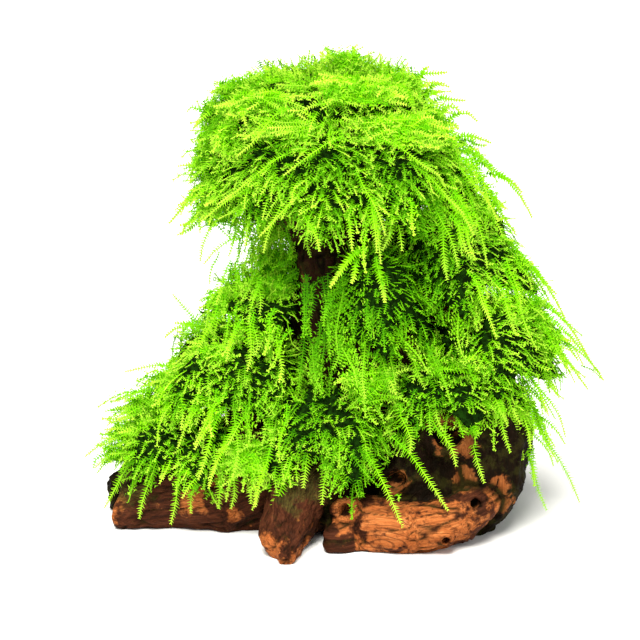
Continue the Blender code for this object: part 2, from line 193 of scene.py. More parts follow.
def makeFloor(values):
    material, wiring = emptyMaterial("paleFloor")
    colour = (*values["floorColour"], 1.0)
    shader = wiring.node("ShaderNodeBsdfPrincipled", {}, {"Base Color": colour, "Roughness": 0.9})
    wiring.node("ShaderNodeOutputMaterial", {}, {"Surface": shader})
    reach = values["floorReach"]
    mesh = bpy.data.meshes.new("floor")
    corners = [(-reach, -reach, 0), (reach, -reach, 0), (reach, reach, 0), (-reach, reach, 0)]
    mesh.from_pydata(corners, [], [(0, 1, 2, 3)])
    mesh.materials.append(material)
    floor = bpy.data.objects.new("floor", mesh)
    bpy.context.scene.collection.objects.link(floor)


makeCamera(studio)
makeLights(studio)
makeFloor(studio)
print("camera, lights and floor made")


# Meshes

def makeObject(name, mesh):
    made = bpy.data.objects.new(name, mesh)
    bpy.context.scene.collection.objects.link(made)
    return made


def pointsOf(mesh):
    points = np.zeros(len(mesh.vertices) * 3, np.float32)
    mesh.vertices.foreach_get("co", points)
    return points.reshape(-1, 3).astype(float)


def setPoints(mesh, points):
    mesh.vertices.foreach_set("co", points.astype(np.float32).ravel())
    mesh.update()


def normalsOf(mesh):
    normals = np.zeros(len(mesh.vertices) * 3, np.float32)
    mesh.vertices.foreach_get("normal", normals)
    return normals.reshape(-1, 3).astype(float)


def storeValues(mesh, name, values, kind="FLOAT"):
    attribute = mesh.attributes.new(name, kind, "POINT")
    field = "value" if kind == "FLOAT" else "vector"
    attribute.data.foreach_set(field, np.asarray(values, np.float32).ravel())


# A merged copy of one CAD node's mesh, whose corners are moved out by a distance
def mergedCopy(bm, node, outBy=0.0):
    copy = bmesh.new()
    copy.from_mesh(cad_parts[node].data)
    bmesh.ops.remove_doubles(copy, verts=copy.verts, dist=2e-6)
    copy.normal_update()
    for vert in copy.verts:
        vert.co += vert.normal * outBy
    spare = bpy.data.meshes.new("spare")
    copy.to_mesh(spare)
    copy.free()
    bm.from_mesh(spare)
    bpy.data.meshes.remove(spare)


def remeshed(name, mesh, voxel, smoothing):
    thing = makeObject(name, mesh)
    shell = thing.modifiers.new("shell", "REMESH")
    shell.mode = "VOXEL"
    shell.voxel_size = voxel
    relax = thing.modifiers.new("relax", "SMOOTH")
    relax.iterations = smoothing
    relax.factor = 0.5
    graph = bpy.context.evaluated_depsgraph_get()
    made = bpy.data.meshes.new_from_object(thing.evaluated_get(graph))
    bpy.data.objects.remove(thing)
    bpy.data.meshes.remove(mesh)
    made.name = name
    return made


def treeOf(meshes):
    points = []
    faces = []
    for mesh in meshes:
        first = len(points)
        points += [vert.co.copy() for vert in mesh.vertices]
        faces += [tuple(first + index for index in face.vertices) for face in mesh.polygons]
    return BVHTree.FromPolygons(points, faces)


# Driftwood

wood = {
    "voxel": 0.0012,
    "smoothing": 2,
    "closeGaps": 0.0004,  # how far each limb's skin is moved out before the limbs become one
    "alongScale": 50.0,  # grain waves in a metre along a limb, and across it
    "acrossScale": 330.0,
    "ridgeDepth": 0.00096,
    "crackDepth": 0.0015,
    "crackWidth": 0.10,  # how far from zero the noise that it follows may be
    "ledgeDepth": 0.0018,
    "ledgeWidth": 0.3,  # how far from zero its noise is where a ledge is at its full height
    "bareSmoothness": 0.65,  # how much of all that is gone where the wood is worn bare
    "lumpSize": 0.011,
    "lumpDepth": 0.0011,
    "creaseDepth": 0.0012,  # where two limbs meet
    "creaseWidth": 0.0022,
    "hollowDepth": 0.0016,
    "footHeight": 0.0008,  # under this height nothing is moved, so the flat cut stays flat
}
# The line that the grain of each limb follows, from one end to the other
grainRuns = {
    "driftwood_trunk": [(0.016, 0.008, 0.0), (0.013, 0.006, 0.05), (0.003, 0.0, 0.108), (-0.007, 0.0, 0.156)],
    "driftwood_burl": [(0.020, -0.004, 0.0), (0.048, -0.002, 0.030), (0.048, -0.010, 0.090)],
    "driftwood_left_root": [
        (0.0, -0.004, 0.052), (-0.036, -0.008, 0.034), (-0.064, -0.010, 0.022), (-0.114, -0.008, 0.014),
    ],
    "driftwood_rear_left_root": [(-0.050, 0.006, 0.018), (-0.082, 0.012, 0.012), (-0.121, 0.009, 0.010)],
    "driftwood_front_root": [(-0.010, -0.012, 0.030), (-0.023, -0.030, 0.020), (-0.029, -0.070, 0.002)],
    "driftwood_burl_root": [
        (-0.010, -0.026, 0.008), (0.010, -0.041, 0.012), (0.032, -0.046, 0.013),
        (0.053, -0.042, 0.015), (0.069, -0.030, 0.020), (0.081, -0.010, 0.029), (0.088, 0.014, 0.035),
    ],
    "driftwood_left_fork": [(-0.009, 0.0, 0.140), (-0.044, -0.004, 0.184), (-0.056, -0.002, 0.200)],
    "driftwood_right_fork": [(-0.002, 0.002, 0.146), (0.008, 0.008, 0.200), (0.002, 0.009, 0.222)],
    "driftwood_side_branch": [(0.014, 0.0, 0.122), (0.064, 0.003, 0.098), (0.078, 0.004, 0.082)],
    "driftwood_back_root": [(0.004, 0.020, 0.030), (-0.010, 0.044, 0.018), (-0.028, 0.074, 0.004)],
    "driftwood_rear_right_root": [(0.052, 0.024, 0.020), (0.068, 0.042, 0.014), (0.084, 0.072, 0.005)],
}
woodPieces = {
    # name of the piece: its slot, the nodes it stands for, and how dark it is all over
    "driftwood": ("driftwood", [name for name in grainRuns if "rear" not in name], 0.0),
    "driftwood_rear": ("dark_driftwood", [name for name in grainRuns if "rear" in name], 0.8),
}


# Spots where the wood looks different, in millimetres: middle, reach and strength
woodSpots = {
    # worn down to bare orange wood
    "bare": [
        ((-116, -12, 13), 12, 0.9), ((-78, -28, 18), 9, 0.9), ((-69, -28, 30), 8, 0.9),
        ((-56, -30, 12), 8, 0.5), ((-37, -44, 6), 9, 0.8), ((-31, -60, 3), 11, 1.2),
        ((-22, -54, 4), 8, 1.0), ((-15, -34, 10), 7, 0.7), ((0, -45, 19), 10, 1.1), ((2, -42, 27), 8, 1.0),
        ((24, -44, 33), 10, 0.9), ((50, -48, 60), 14, 0.9), ((58, -48, 53), 10, 0.9),
        ((58, -48, 36), 9, 0.9), ((73, -40, 32), 9, 0.9), ((73, -36, 20), 11, 0.9),
        ((20, -50, 12), 18, 1.0), ((38, -56, 12), 20, 1.1), ((52, -50, 14), 16, 1.0),
        ((64, -42, 16), 12, 0.8), ((90, 0, 52), 8, 0.6), ((12, -46, 44), 8, 0.6),
        ((-20, -20, 128), 7, 0.35),
    ],
    # olive with algae
    "algae": [
        ((-108, -18, 24), 18, 1.0), ((-20, -34, 34), 24, 1.1), ((-28, -48, 20), 12, 0.7),
        ((-48, -26, 34), 14, 0.6), ((36, -46, 30), 8, 0.5), ((76, -22, 46), 12, 0.4),
    ],
    # black hollows: painted shade where the wood has deep holes
    "hollow": [
        ((42, -46, 42), 20, 1.0), ((14, -40, 36), 13, 0.9), ((-10, -36, 14), 7, 1.0),
        ((86, -26, 44), 13, 0.8), ((66, -42, 50), 15, 0.9), ((-14, -26, 60), 14, 0.8),
        ((30, -42, 62), 14, 0.9), ((-118, 4, 16), 12, 0.8), ((60, -47, 19), 7, 1.0),
        ((70, -38, 62), 14, 0.7), ((88, -10, 34), 12, 0.6),
    ],
}
# Dark eyes of knots that the grain runs round, in millimetres: middle, half its width, half its height
woodEyes = [((18, -53, 6), 17, 7), ((25, -44, 30), 6, 5), ((-104, -28, 14), 9, 4)]
# Where the wood's skin is moved, in millimetres: middle, reach, shift
woodShifts = [
    ((-34, -52, 8), 13, (-5, -2, 0)), ((-116, -18, 4), 14, (-7, -5, 0)), ((2, -36, 3), 17, (-2, -9, 0)),
    ((68, -36, 4), 15, (-3, 5, 0)), ((-88, -24, 4), 10, (0, 2, 0)), ((-60, -22, 4), 9, (0, -3, 0)),
    ((-4, -44, 3), 11, (-6, -5, 0)), ((54, -50, 3), 15, (0, 4, 0)), ((-14, -54, 6), 9, (-4, 0, 0)),
    ((-29, -71, 2), 8, (0, -4, 0)),
]
# How much darker a limb's wood is made, where it isn't worn bare: painted shade on the trunk and forks, which
# lie in the gaps under the moss, and on the burl its dark wood together with painted shade
limbDarknessAndShade = {
    "driftwood_burl": 1.0, "driftwood_trunk": 0.75, "driftwood_left_fork": 0.5, "driftwood_right_fork": 0.5,
}


# Distances from a place, as shares of a reach
def sharesOf(points, middle, reach):
    return np.linalg.norm(points - np.array(middle) / 1000, axis=1) / (reach / 1000)


def spotShare(points, kind):
    share = np.zeros(len(points))
    for middle, reach, strength in woodSpots[kind]:
        share = np.maximum(share, strength * np.clip(1.25 - sharesOf(points, middle, reach), 0, 1))
    return share


# How far points are from the nearest knot's eye, as a share of its size
def eyeShare(points):
    nearest = np.full(len(points), 9.0)
    for middle, halfWidth, halfHeight in woodEyes:
        x, y, z = (points * 1000 - np.array(middle)).T
        nearest = np.minimum(nearest, np.hypot(np.hypot(x, y * 0.6) / halfWidth, z / halfHeight))
    return nearest


# Where points lie along a run: the length up to them, and the way off it
def alongRun(points, run):
    best = np.full(len(points), 1e9)
    length = np.zeros(len(points))
    off = np.zeros((len(points), 3))
    done = 0.0
    for start, end in zip(run, run[1:]):
        start = np.array(start)
        way = np.array(end) - start
        share = np.clip((points - start) @ way / (way @ way), 0, 1)
        away = points - (start + share[:, None] * way)
        distance = np.linalg.norm(away, axis=1)
        nearer = distance < best
        best[nearer] = distance[nearer]
        off[nearer] = away[nearer]
        length[nearer] = done + share[nearer] * np.linalg.norm(way)
        done += np.linalg.norm(way)
    return length, off


# Coordinates that follow the grain: the way off the run, and the length along it in a direction of its own
def grainCoordinates(points, run):
    length, off = alongRun(points, run)
    way = np.array(run[-1]) - np.array(run[0])
    way /= np.linalg.norm(way)
    return off * wood["acrossScale"] + np.outer(length, way) * wood["alongScale"]


def noiseAt(places, octaves=2):
    return np.array([noise.fractal(Vector(place), 1.0, 2.0, octaves) for place in places])


# The limbs as one skin
def joinedWood(name, nodes):
    bm = bmesh.new()
    for node in nodes:
        mergedCopy(bm, node, wood["closeGaps"])
    mesh = bpy.data.meshes.new(name)
    bm.to_mesh(mesh)
    bm.free()
    return remeshed(name, mesh, wood["voxel"], wood["smoothing"])


def makeWoodMesh(name, nodes):
    mesh = joinedWood(name, nodes)
    points = pointsOf(mesh)
    distances = []
    coordinates = []
    for node in nodes:
        tree = treeOf([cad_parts[node].data])
        distances.append([tree.find_nearest(Vector(point))[3] for point in points])
        coordinates.append(grainCoordinates(points, grainRuns[node]))
    distances = np.array(distances)
    nearest = distances.argmin(axis=0)
    grain = np.array(coordinates)[nearest, np.arange(len(points))]
    lumps = noiseAt(points / wood["lumpSize"], 3)
    ridges = noiseAt(grain * 0.9)
    cracks = np.clip(1 - np.abs(noiseAt(grain * 0.33 + 40)) / wood["crackWidth"], 0, 1) ** 2
    ledges = np.abs(noiseAt(grain * 0.12 + 7)) / wood["ledgeWidth"]
    crease = np.exp(-((np.sort(distances, axis=0)[1] / wood["creaseWidth"]) ** 2))
    hollow = spotShare(points, "hollow")
    bare = spotShare(points, "bare")
    rough = 1 - wood["bareSmoothness"] * np.clip(bare, 0, 1)
    steady = np.clip(points[:, 2] / wood["footHeight"] - 0.5, 0, 1)
    move = wood["lumpDepth"] * lumps + wood["ridgeDepth"] * ridges * rough
    move += wood["ledgeDepth"] * (np.clip(ledges, 0, 1) - 0.6) * rough
    move -= wood["crackDepth"] * cracks * rough
    move -= wood["creaseDepth"] * crease + wood["hollowDepth"] * np.clip(hollow, 0, 1)
    moved = points + normalsOf(mesh) * (move * steady)[:, None]
    for middle, reach, shift in woodShifts:
        share = np.clip(1 - sharesOf(points, middle, reach) ** 2, 0, 1)
        moved += share[:, None] * np.array(shift) / 1000
    moved[:, 2] = np.maximum(moved[:, 2], 0.0)
    setPoints(mesh, moved)
    mesh.shade_smooth()
    storeValues(mesh, "grain", grain, "FLOAT_VECTOR")
    # The material darkens these with painted shade: the cracks, the crease where two limbs meet and the ledge
    # edges
    storeValues(mesh, "crack", np.clip(cracks * 1.2 + crease * 0.9 + np.clip(0.25 - ledges, 0, 1), 0, 1))
    storeValues(mesh, "hollow", hollow)
    storeValues(mesh, "bare", bare)
    storeValues(mesh, "eye", eyeShare(points) + ridges * 0.05)
    # painted shade on the limbs under the moss, and the burl's dark wood
    storeValues(mesh, "shade", np.array([limbDarknessAndShade.get(node, 0.0) for node in nodes])[nearest])
    storeValues(mesh, "algae", spotShare(moved, "algae"))
    return mesh


# Red brown wood: orange where it is worn bare, black brown painted shade in cracks, creases and hollows,
# olive where algae grow
def woodMaterial(name, darkness):
    material, wiring = emptyMaterial(name)

    def value(attribute, output="Fac"):
        return wiring.node("ShaderNodeAttribute", {"attribute_name": attribute}, {}, output)

    def ramp(stops, share):
        return wiring.node("ShaderNodeValToRGB", {"stops": stops}, {0: share})

    def noiseOver(places, scale, detail, roughness=0.5):
        inputs = {"Vector": places, "Scale": scale, "Detail": detail, "Roughness": roughness}
        return wiring.node("ShaderNodeTexNoise", {}, inputs, 0)

    # Thin lines where a noise passes its middle value
    def linesIn(pattern, low, high):
        return 1 - (pattern - 0.5).absolute().step(low, high)

    grain = value("grain", "Vector")
    crack = value("crack")
    place = wiring.node("ShaderNodeTexCoord", {}, {}, "Object")
    height = wiring.node("ShaderNodeSeparateXYZ", {}, {0: place}, "Z")
    normal = wiring.node("ShaderNodeNewGeometry", {}, {}, "Normal")
    facing = wiring.node("ShaderNodeSeparateXYZ", {}, {0: normal}, "Z")
    fine = noiseOver(grain, 2.6, 6.0, 0.65)
    streak = noiseOver(grain, 0.4, 3.0)
    patch = noiseOver(place, 130.0, 4.0, 0.6)
    speck = noiseOver(place, 620.0, 2.0)
    line = linesIn(noiseOver(grain, 1.5, 1.0), 0.004, 0.030)
    hair = linesIn(noiseOver(grain, 3.4, 0.0), 0.01, 0.07)
    eye = value("eye")
    around = 1 - eye.step(0.8, 1.25)
    ring = (eye * 20).sine().step(0.55, 0.95)
    line = line * (1 - around) + ring * around * 0.9
    hair = hair * (1 - around * 0.6)
    body = ramp([
        (0.28, (0.005, 0.002, 0.001)),
        (0.44, (0.022, 0.007, 0.003)),
        (0.56, (0.062, 0.018, 0.008)),
        (0.74, (0.15, 0.046, 0.018)),
    ], fine * 0.55 + streak * 0.45)
    bare = ramp([
        (0.26, (0.13, 0.030, 0.007)),
        (0.42, (0.26, 0.068, 0.016)),
        (0.55, (0.38, 0.115, 0.030)),
        (0.74, (0.54, 0.21, 0.070)),
    ], fine * 0.6 + streak * 0.4)
    bareShare = (value("bare") + (patch - 0.5) * 2.4 - 0.30).step(0.0, 0.35) * (1 - crack * 0.8)
    colour = wiring.blend(bareShare, body, bare)
    top = facing.step(0.35, 0.85) * height.step(0.012, 0.03) * 0.5
    algaeShare = (value("algae") + top + (patch - 0.5) * 2.0 - 0.45).step(0.0, 0.5)
    olive = ramp([(0.35, (0.012, 0.011, 0.004)), (0.65, (0.07, 0.062, 0.012))], fine)
    colour = wiring.blend(algaeShare * 0.8, colour, olive)
    # Painted shade in the cracks, the crease where limbs meet, the holes and on the limbs under the moss,
    # with the dark knot eyes and the darker rear roots, all blended towards near-black
    shadeAndDarkWood = crack * 0.85 + (value("hollow") + value("shade")) * (1 - bareShare * 0.65) + darkness
    shadeAndDarkWood = (shadeAndDarkWood + (1 - eye.step(0.10, 0.22)) * 0.7).clamped()
    black = wiring.blend(patch.step(0.46, 0.60), (0.003, 0.0022, 0.0008, 1.0), (0.013, 0.013, 0.0022, 1.0))
    colour = wiring.blend(shadeAndDarkWood * 0.95, colour, black)
    # The grain lines and hairs fade where the painted shade and the dark wood are
    lit = 1 - shadeAndDarkWood * 0.9
    colour = wiring.blend(line * lit * 0.6, colour, (0.030, 0.009, 0.004, 1.0))
    colour = wiring.blend(hair * lit * 0.35, colour, (0.05, 0.013, 0.005, 1.0))
    colour = wiring.blend(speck.step(0.58, 0.70) * 0.35, colour, (0.02, 0.010, 0.006, 1.0))
    bumps = fine * 0.7 + streak * 0.5 + speck * 0.2 - line * 0.4 - hair * 0.15
    relief = wiring.node("ShaderNodeBump", {}, {"Height": bumps, "Strength": 0.7, "Distance": 0.0010})
    roughness = 0.5 + fine * 0.35
    inputs = {"Base Color": colour, "Roughness": roughness, "Normal": relief, "Specular IOR Level": 0.03}
    shader = wiring.node("ShaderNodeBsdfPrincipled", {}, inputs)
    wiring.node("ShaderNodeOutputMaterial", {}, {"Surface": shader})
    return material


for name, (slot, nodes, darkness) in woodPieces.items():
    mesh = makeWoodMesh(name, nodes)
    mesh.materials.append(woodMaterial(name, darkness))
    piece = makeObject(name, mesh)
    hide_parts(*nodes)
    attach(piece, "root")
    print(name, "made:", len(mesh.polygons), "faces")


# Moss

moss = {
    "seed": 11,
    "bedVoxel": 0.0028,
    "bedSmoothing": 14,
    "bedShrink": 0.88,  # of each clump's width: the matted core under the fronds, nearly black, partly matted moss and partly painted shade
    "bedDrop": 0.011,  # how far the core's top lies under the clump's top
    "bedGap": 0.007,  # how much further than the fronds the core keeps out of the clearings
    "bedLumpSize": 0.006,
    "bedLumpDepth": 0.0012,
    "spread": 0.0031,  # least distance between the roots of two fronds
    "tries": 5,  # places tried for each square of that size
    "topThickening": 0.25,  # how much nearer to each other they are on level ground, as a share
    "overhang": -0.35,  # the least upward part of a place's normal
    "cover": 0.005,  # how near over a place another core or the wood may be
    "rootDepth": 0.002,
    "steps": 9,  # points along one frond's stem, after its root
    "fewestPoints": 4,  # on a stem that is kept
    "backThinning": 1.15,  # times the spread, on the back
    "shootAngle": 62.0,
    "leafSpacing": 0.00135,
    "leafWidth": 0.00056,
    "leafAngle": 74.0,
    "stemRadius": 0.00027,
    "shootWidth": 0.06,  # of a side shoot's own stem, as a share of its length
    "widestComb": 4.0,  # millimetres: past it, a listed frond is a plume of broad leaves
    "widestPlume": 5.0,  # past it, it has leafy side shoots
    "plumeGirth": 2.0,  # how much broader the leaves of a plume are
    "fernLeaf": 0.0013,
    "fernGap": 0.0022,
    "spill": (0.001, 0.007),  # how far a frond that grows may pass the clump's own form
    "coreReach": 0.012,  # how near the core a frond has to be to follow it
    "lift": (0.05, 0.45),  # how steeply it starts off the core
    "curl": 0.13,
    "plainLeaf": (0.9, 1.4),  # how much longer the leaves are on a frond without side shoots
    "shootedLeaf": 0.8,
    "patchSize": 0.016,  # of a clump's light and dark patches
    "patchTone": 0.4,
    "hollowSize": 0.011,  # of the patches where none of the upper fronds grow
    "hollowBelow": -0.18,  # how low the noise is there
    "grownTones": (-0.2, 0.2),
    "sway": 0.0016,
    "plumeBow": 1.7,
    "plumeLeaf": 0.62,
    "looseGirth": (0.9, 1.4),  # of the leaves in rows and tufts
    "rowJitter": (6, 8),  # millimetres, at the roots and at the tips
    "rowLengths": (0.55, 1.1),  # times what the row's own line says, and so is the bow
    "rowBows": (0.5, 1.4),
    "rowPlain": 0.5,  # how many have no side shoots
    "rowTones": (-0.2, 0.15),
    "tuftRoots": 0.6,  # the part of a tuft's reach where its roots lie
    "tuftLengths": (0.75, 1.05),
    "tuftFall": 0.15,  # how much more its fronds hang than stand
    "tuftJitter": 4,  # millimetres, at the tips
    "tuftBows": (0, 5),
    "tuftPlain": 0.6,
    "tuftTones": (-0.35, 0.3),
}
layers = [
    # share of the fronds, height over the core, shortest and longest frond, longest side shoot, the gap
    # between side shoots, longest leaf, brightness (lower in the lower layers: partly older growth, partly
    # painted shade of the depth), how many have no side shoots but longer leaves
    (0.34, 0.0034, 0.011, 0.018, 0.0046, 0.0042, 0.0024, 0.12, 0.3),
    (0.42, 0.0072, 0.012, 0.020, 0.0052, 0.0040, 0.0024, 0.52, 0.5),
    (0.24, 0.0112, 0.013, 0.024, 0.0054, 0.0038, 0.0023, 0.90, 0.75),
]
# How the fronds of a clump run: outwards, down, how much they droop, how they stray, their share of the
# spill, and how much brighter they are; the front cascade's low value is painted shade from the crown above
# it
habits = {
    "moss_crown": (0.75, 0.75, 0.10, 0.9, 0.8, 0.20),
    "moss_crown_top": (0.9, 0.5, 0.14, 0.9, 0.35, 0.30),
    "moss_right_shoulder": (0.75, 0.75, 0.12, 0.9, 0.5, 0.20),
    "moss_right_skirt": (0.75, 0.75, 0.12, 0.9, 0.5, 0.18),
    "moss_left_shelf": (0.75, 0.75, 0.12, 0.9, 0.5, 0.16),
    "moss_left_slope": (0.75, 0.75, 0.12, 0.9, 0.5, 0.20),
    "moss_left_skirt": (0.75, 0.75, 0.12, 0.9, 0.8, 0.16),
    # painted shade: the cascade hangs under the crown
    "moss_front_cascade": (0.25, 1.0, 0.16, 0.6, 0.7, -0.46),
    "moss_front_fringe": (0.25, 1.0, 0.20, 0.6, 1.0, -0.05),
    "moss_burl_cap": (0.30, 1.0, 0.20, 0.6, 0.7, -0.05),
}
usualHabit = (0.50, 1.0, 0.10, 0.9, 1.0, 0.14)
# How long the shoots and leaves are from a frond's root to its tip, as shares of the longest
outlines = {
    "fern": ((0, 0.15, 0.35, 0.6, 0.8, 1), (0.5, 0.85, 1, 0.75, 0.4, 0.2)),
    "comb": ((0, 0.2, 0.7, 0.9, 1), (0.8, 1, 1, 0.85, 0.5)),
    "plume": ((0, 0.15, 0.4, 0.7, 0.9, 1), (0.6, 1, 1, 0.9, 0.75, 0.5)),
}
# Fronds that stand out one by one, by clump and in millimetres: root, tip, how far it bows up, longest leaf
# or side shoot, brightness
strands = {
    "moss_crown": [
        # the left edge
        ((-66, -4, 178), (-87, -5, 155), 1, 4.4, 0.45), ((-62, -8, 168), (-83, -5, 149), -2, 4.4, 0.45),
        ((-64, -10, 164), (-72, -10, 137), 2, 3.6, 0.50), ((-44, -10, 154), (-70, -12, 136), 6, 3.4, 0.50),
        # the right edge, from the top down
        ((32, 6, 214), (50, 6, 221), 3, 4.6, 0.52), ((40, 6, 210), (58, 6, 214), 4, 4.6, 0.52),
        ((44, 6, 202), (64, 6, 204), 5, 4.6, 0.47), ((50, 6, 192), (71, 6, 193), 5, 4.6, 0.47),
        # bright and straight on the front
        ((-28, -36, 218), (-52, -40, 196), 3, 2.4, 0.85), ((-2, -42, 206), (-30, -48, 188), 3, 2.2, 0.85),
        ((-22, -42, 200), (-62, -40, 172), 4, 2.4, 0.85), ((-40, -38, 184), (-70, -32, 162), 3, 2.3, 0.80),
        ((-10, -46, 190), (-42, -48, 158), 3, 2.4, 0.80), ((14, -42, 204), (44, -38, 186), 4, 2.2, 0.85),
        ((4, -46, 190), (18, -52, 160), 4, 2.4, 0.85), ((30, -38, 192), (56, -34, 166), 4, 2.3, 0.80),
        ((-30, -44, 178), (-40, -46, 150), 3, 2.4, 0.85), ((12, -48, 176), (16, -52, 146), 3, 2.4, 0.90),
    ],
    "moss_crown_top": [
        # the right edge, from the top down
        ((30, 8, 222), (49, 6, 228), 3, 4.6, 0.52),
    ],
    "moss_right_shoulder": [
        # the right edge, from the top down
        ((62, 2, 186), (92, 4, 156), 7, 4.6, 0.52), ((60, -8, 178), (83, -4, 150), 6, 4.6, 0.52),
        ((72, -4, 150), (101, -2, 115), 7, 4.6, 0.52),
        # large and ferny, in the hollow of the front
        ((52, -34, 128), (56, -44, 98), 3, 6.0, 0.60),
    ],
    "moss_right_skirt": [
        # the right edge, from the top down
        ((78, -4, 142), (109, -3, 106), 8, 4.6, 0.52), ((84, -4, 122), (120, -4, 88), 8, 4.6, 0.52),
        ((86, -4, 112), (129, -4, 74), 10, 4.6, 0.57), ((88, -8, 104), (121, -6, 70), 8, 4.6, 0.52),
        ((88, -12, 92), (106, -14, 68), 6, 4.6, 0.47), ((86, -16, 84), (104, -18, 58), 6, 3.6, 0.42),
        ((88, -18, 70), (104, -20, 44), 5, 3.2, 0.37), ((94, -16, 56), (117, -20, 15), 6, 3.0, 0.42),
        ((86, -22, 54), (100, -26, 13), 5, 3.0, 0.37),
        # over the burl
        ((74, -30, 80), (84, -36, 54), 5, 3.8, 0.67),
    ],
    "moss_left_shelf": [
        # the left side
        ((-68, -6, 102), (-86, -4, 118), -5, 3.4, 0.45), ((-66, -8, 104), (-90, -6, 97), 3, 4.2, 0.45),
    ],
    "moss_left_slope": [
        # the left side
        ((-66, -12, 96), (-82, -12, 89), 4, 2.6, 0.60), ((-88, -14, 72), (-115, -15, 66), 6, 3.6, 0.45),
        ((-92, -14, 62), (-119, -16, 54), 6, 3.6, 0.45),
        # over the wood at the left and the front
        ((-60, -36, 46), (-63, -38, 18), 3, 3.6, 0.62), ((-54, -38, 46), (-57, -38, 18), 3, 3.4, 0.62),
        ((-44, -40, 50), (-47, -42, 22), 3, 3.6, 0.62),
    ],
    "moss_left_skirt": [
        # the left side
        ((-100, -12, 50), (-131, -11, 36), 7, 3.8, 0.45), ((-98, -16, 46), (-126, -14, 31), 6, 3.8, 0.45),
        # over the wood at the left and the front
        ((-104, -24, 40), (-121, -20, 12), 5, 3.6, 0.57), ((-94, -30, 40), (-103, -30, 10), 4, 3.4, 0.57),
        ((-80, -34, 40), (-87, -35, 9), 4, 3.4, 0.62), ((-72, -36, 42), (-77, -36, 15), 3, 3.4, 0.62),
    ],
    "moss_front_fringe": [
        # over the wood at the left and the front
        ((-30, -44, 46), (-35, -48, 10), 3, 3.8, 0.72), ((-18, -46, 58), (-21, -50, 33), 3, 3.8, 0.67),
        ((-8, -46, 52), (-12, -52, 25), 3, 3.6, 0.67),
        # over the burl
        ((6, -48, 56), (27, -60, 16), 7, 3.2, 0.82), ((6, -46, 66), (12, -52, 42), 3, 3.6, 0.62),
    ],
    "moss_burl_cap": [
        # over the burl
        ((22, -48, 58), (49, -58, 24), 7, 3.2, 0.82), ((40, -48, 70), (53, -56, 46), 5, 3.6, 0.72),
        ((56, -44, 68), (67, -52, 36), 5, 3.4, 0.72), ((26, -46, 74), (31, -54, 52), 3, 3.6, 0.67),
        ((50, -42, 86), (55, -50, 63), 4, 3.8, 0.72),
    ],
    "moss_front_cascade": [
        # large and ferny, in the hollow of the front
        ((-3, -38, 140), (-4, -47, 98), 2, 9.5, 0.30), ((12, -38, 142), (13, -48, 108), 2, 7.5, 0.55),
        ((16, -42, 118), (39, -52, 92), 3, 5.5, 0.60), ((10, -42, 150), (-8, -50, 134), 6, 5.0, 0.80),
        ((14, -40, 146), (18, -48, 126), 1, 5.0, 0.75), ((-6, -42, 112), (5, -50, 84), 2, 6.5, 0.60),
    ],
}
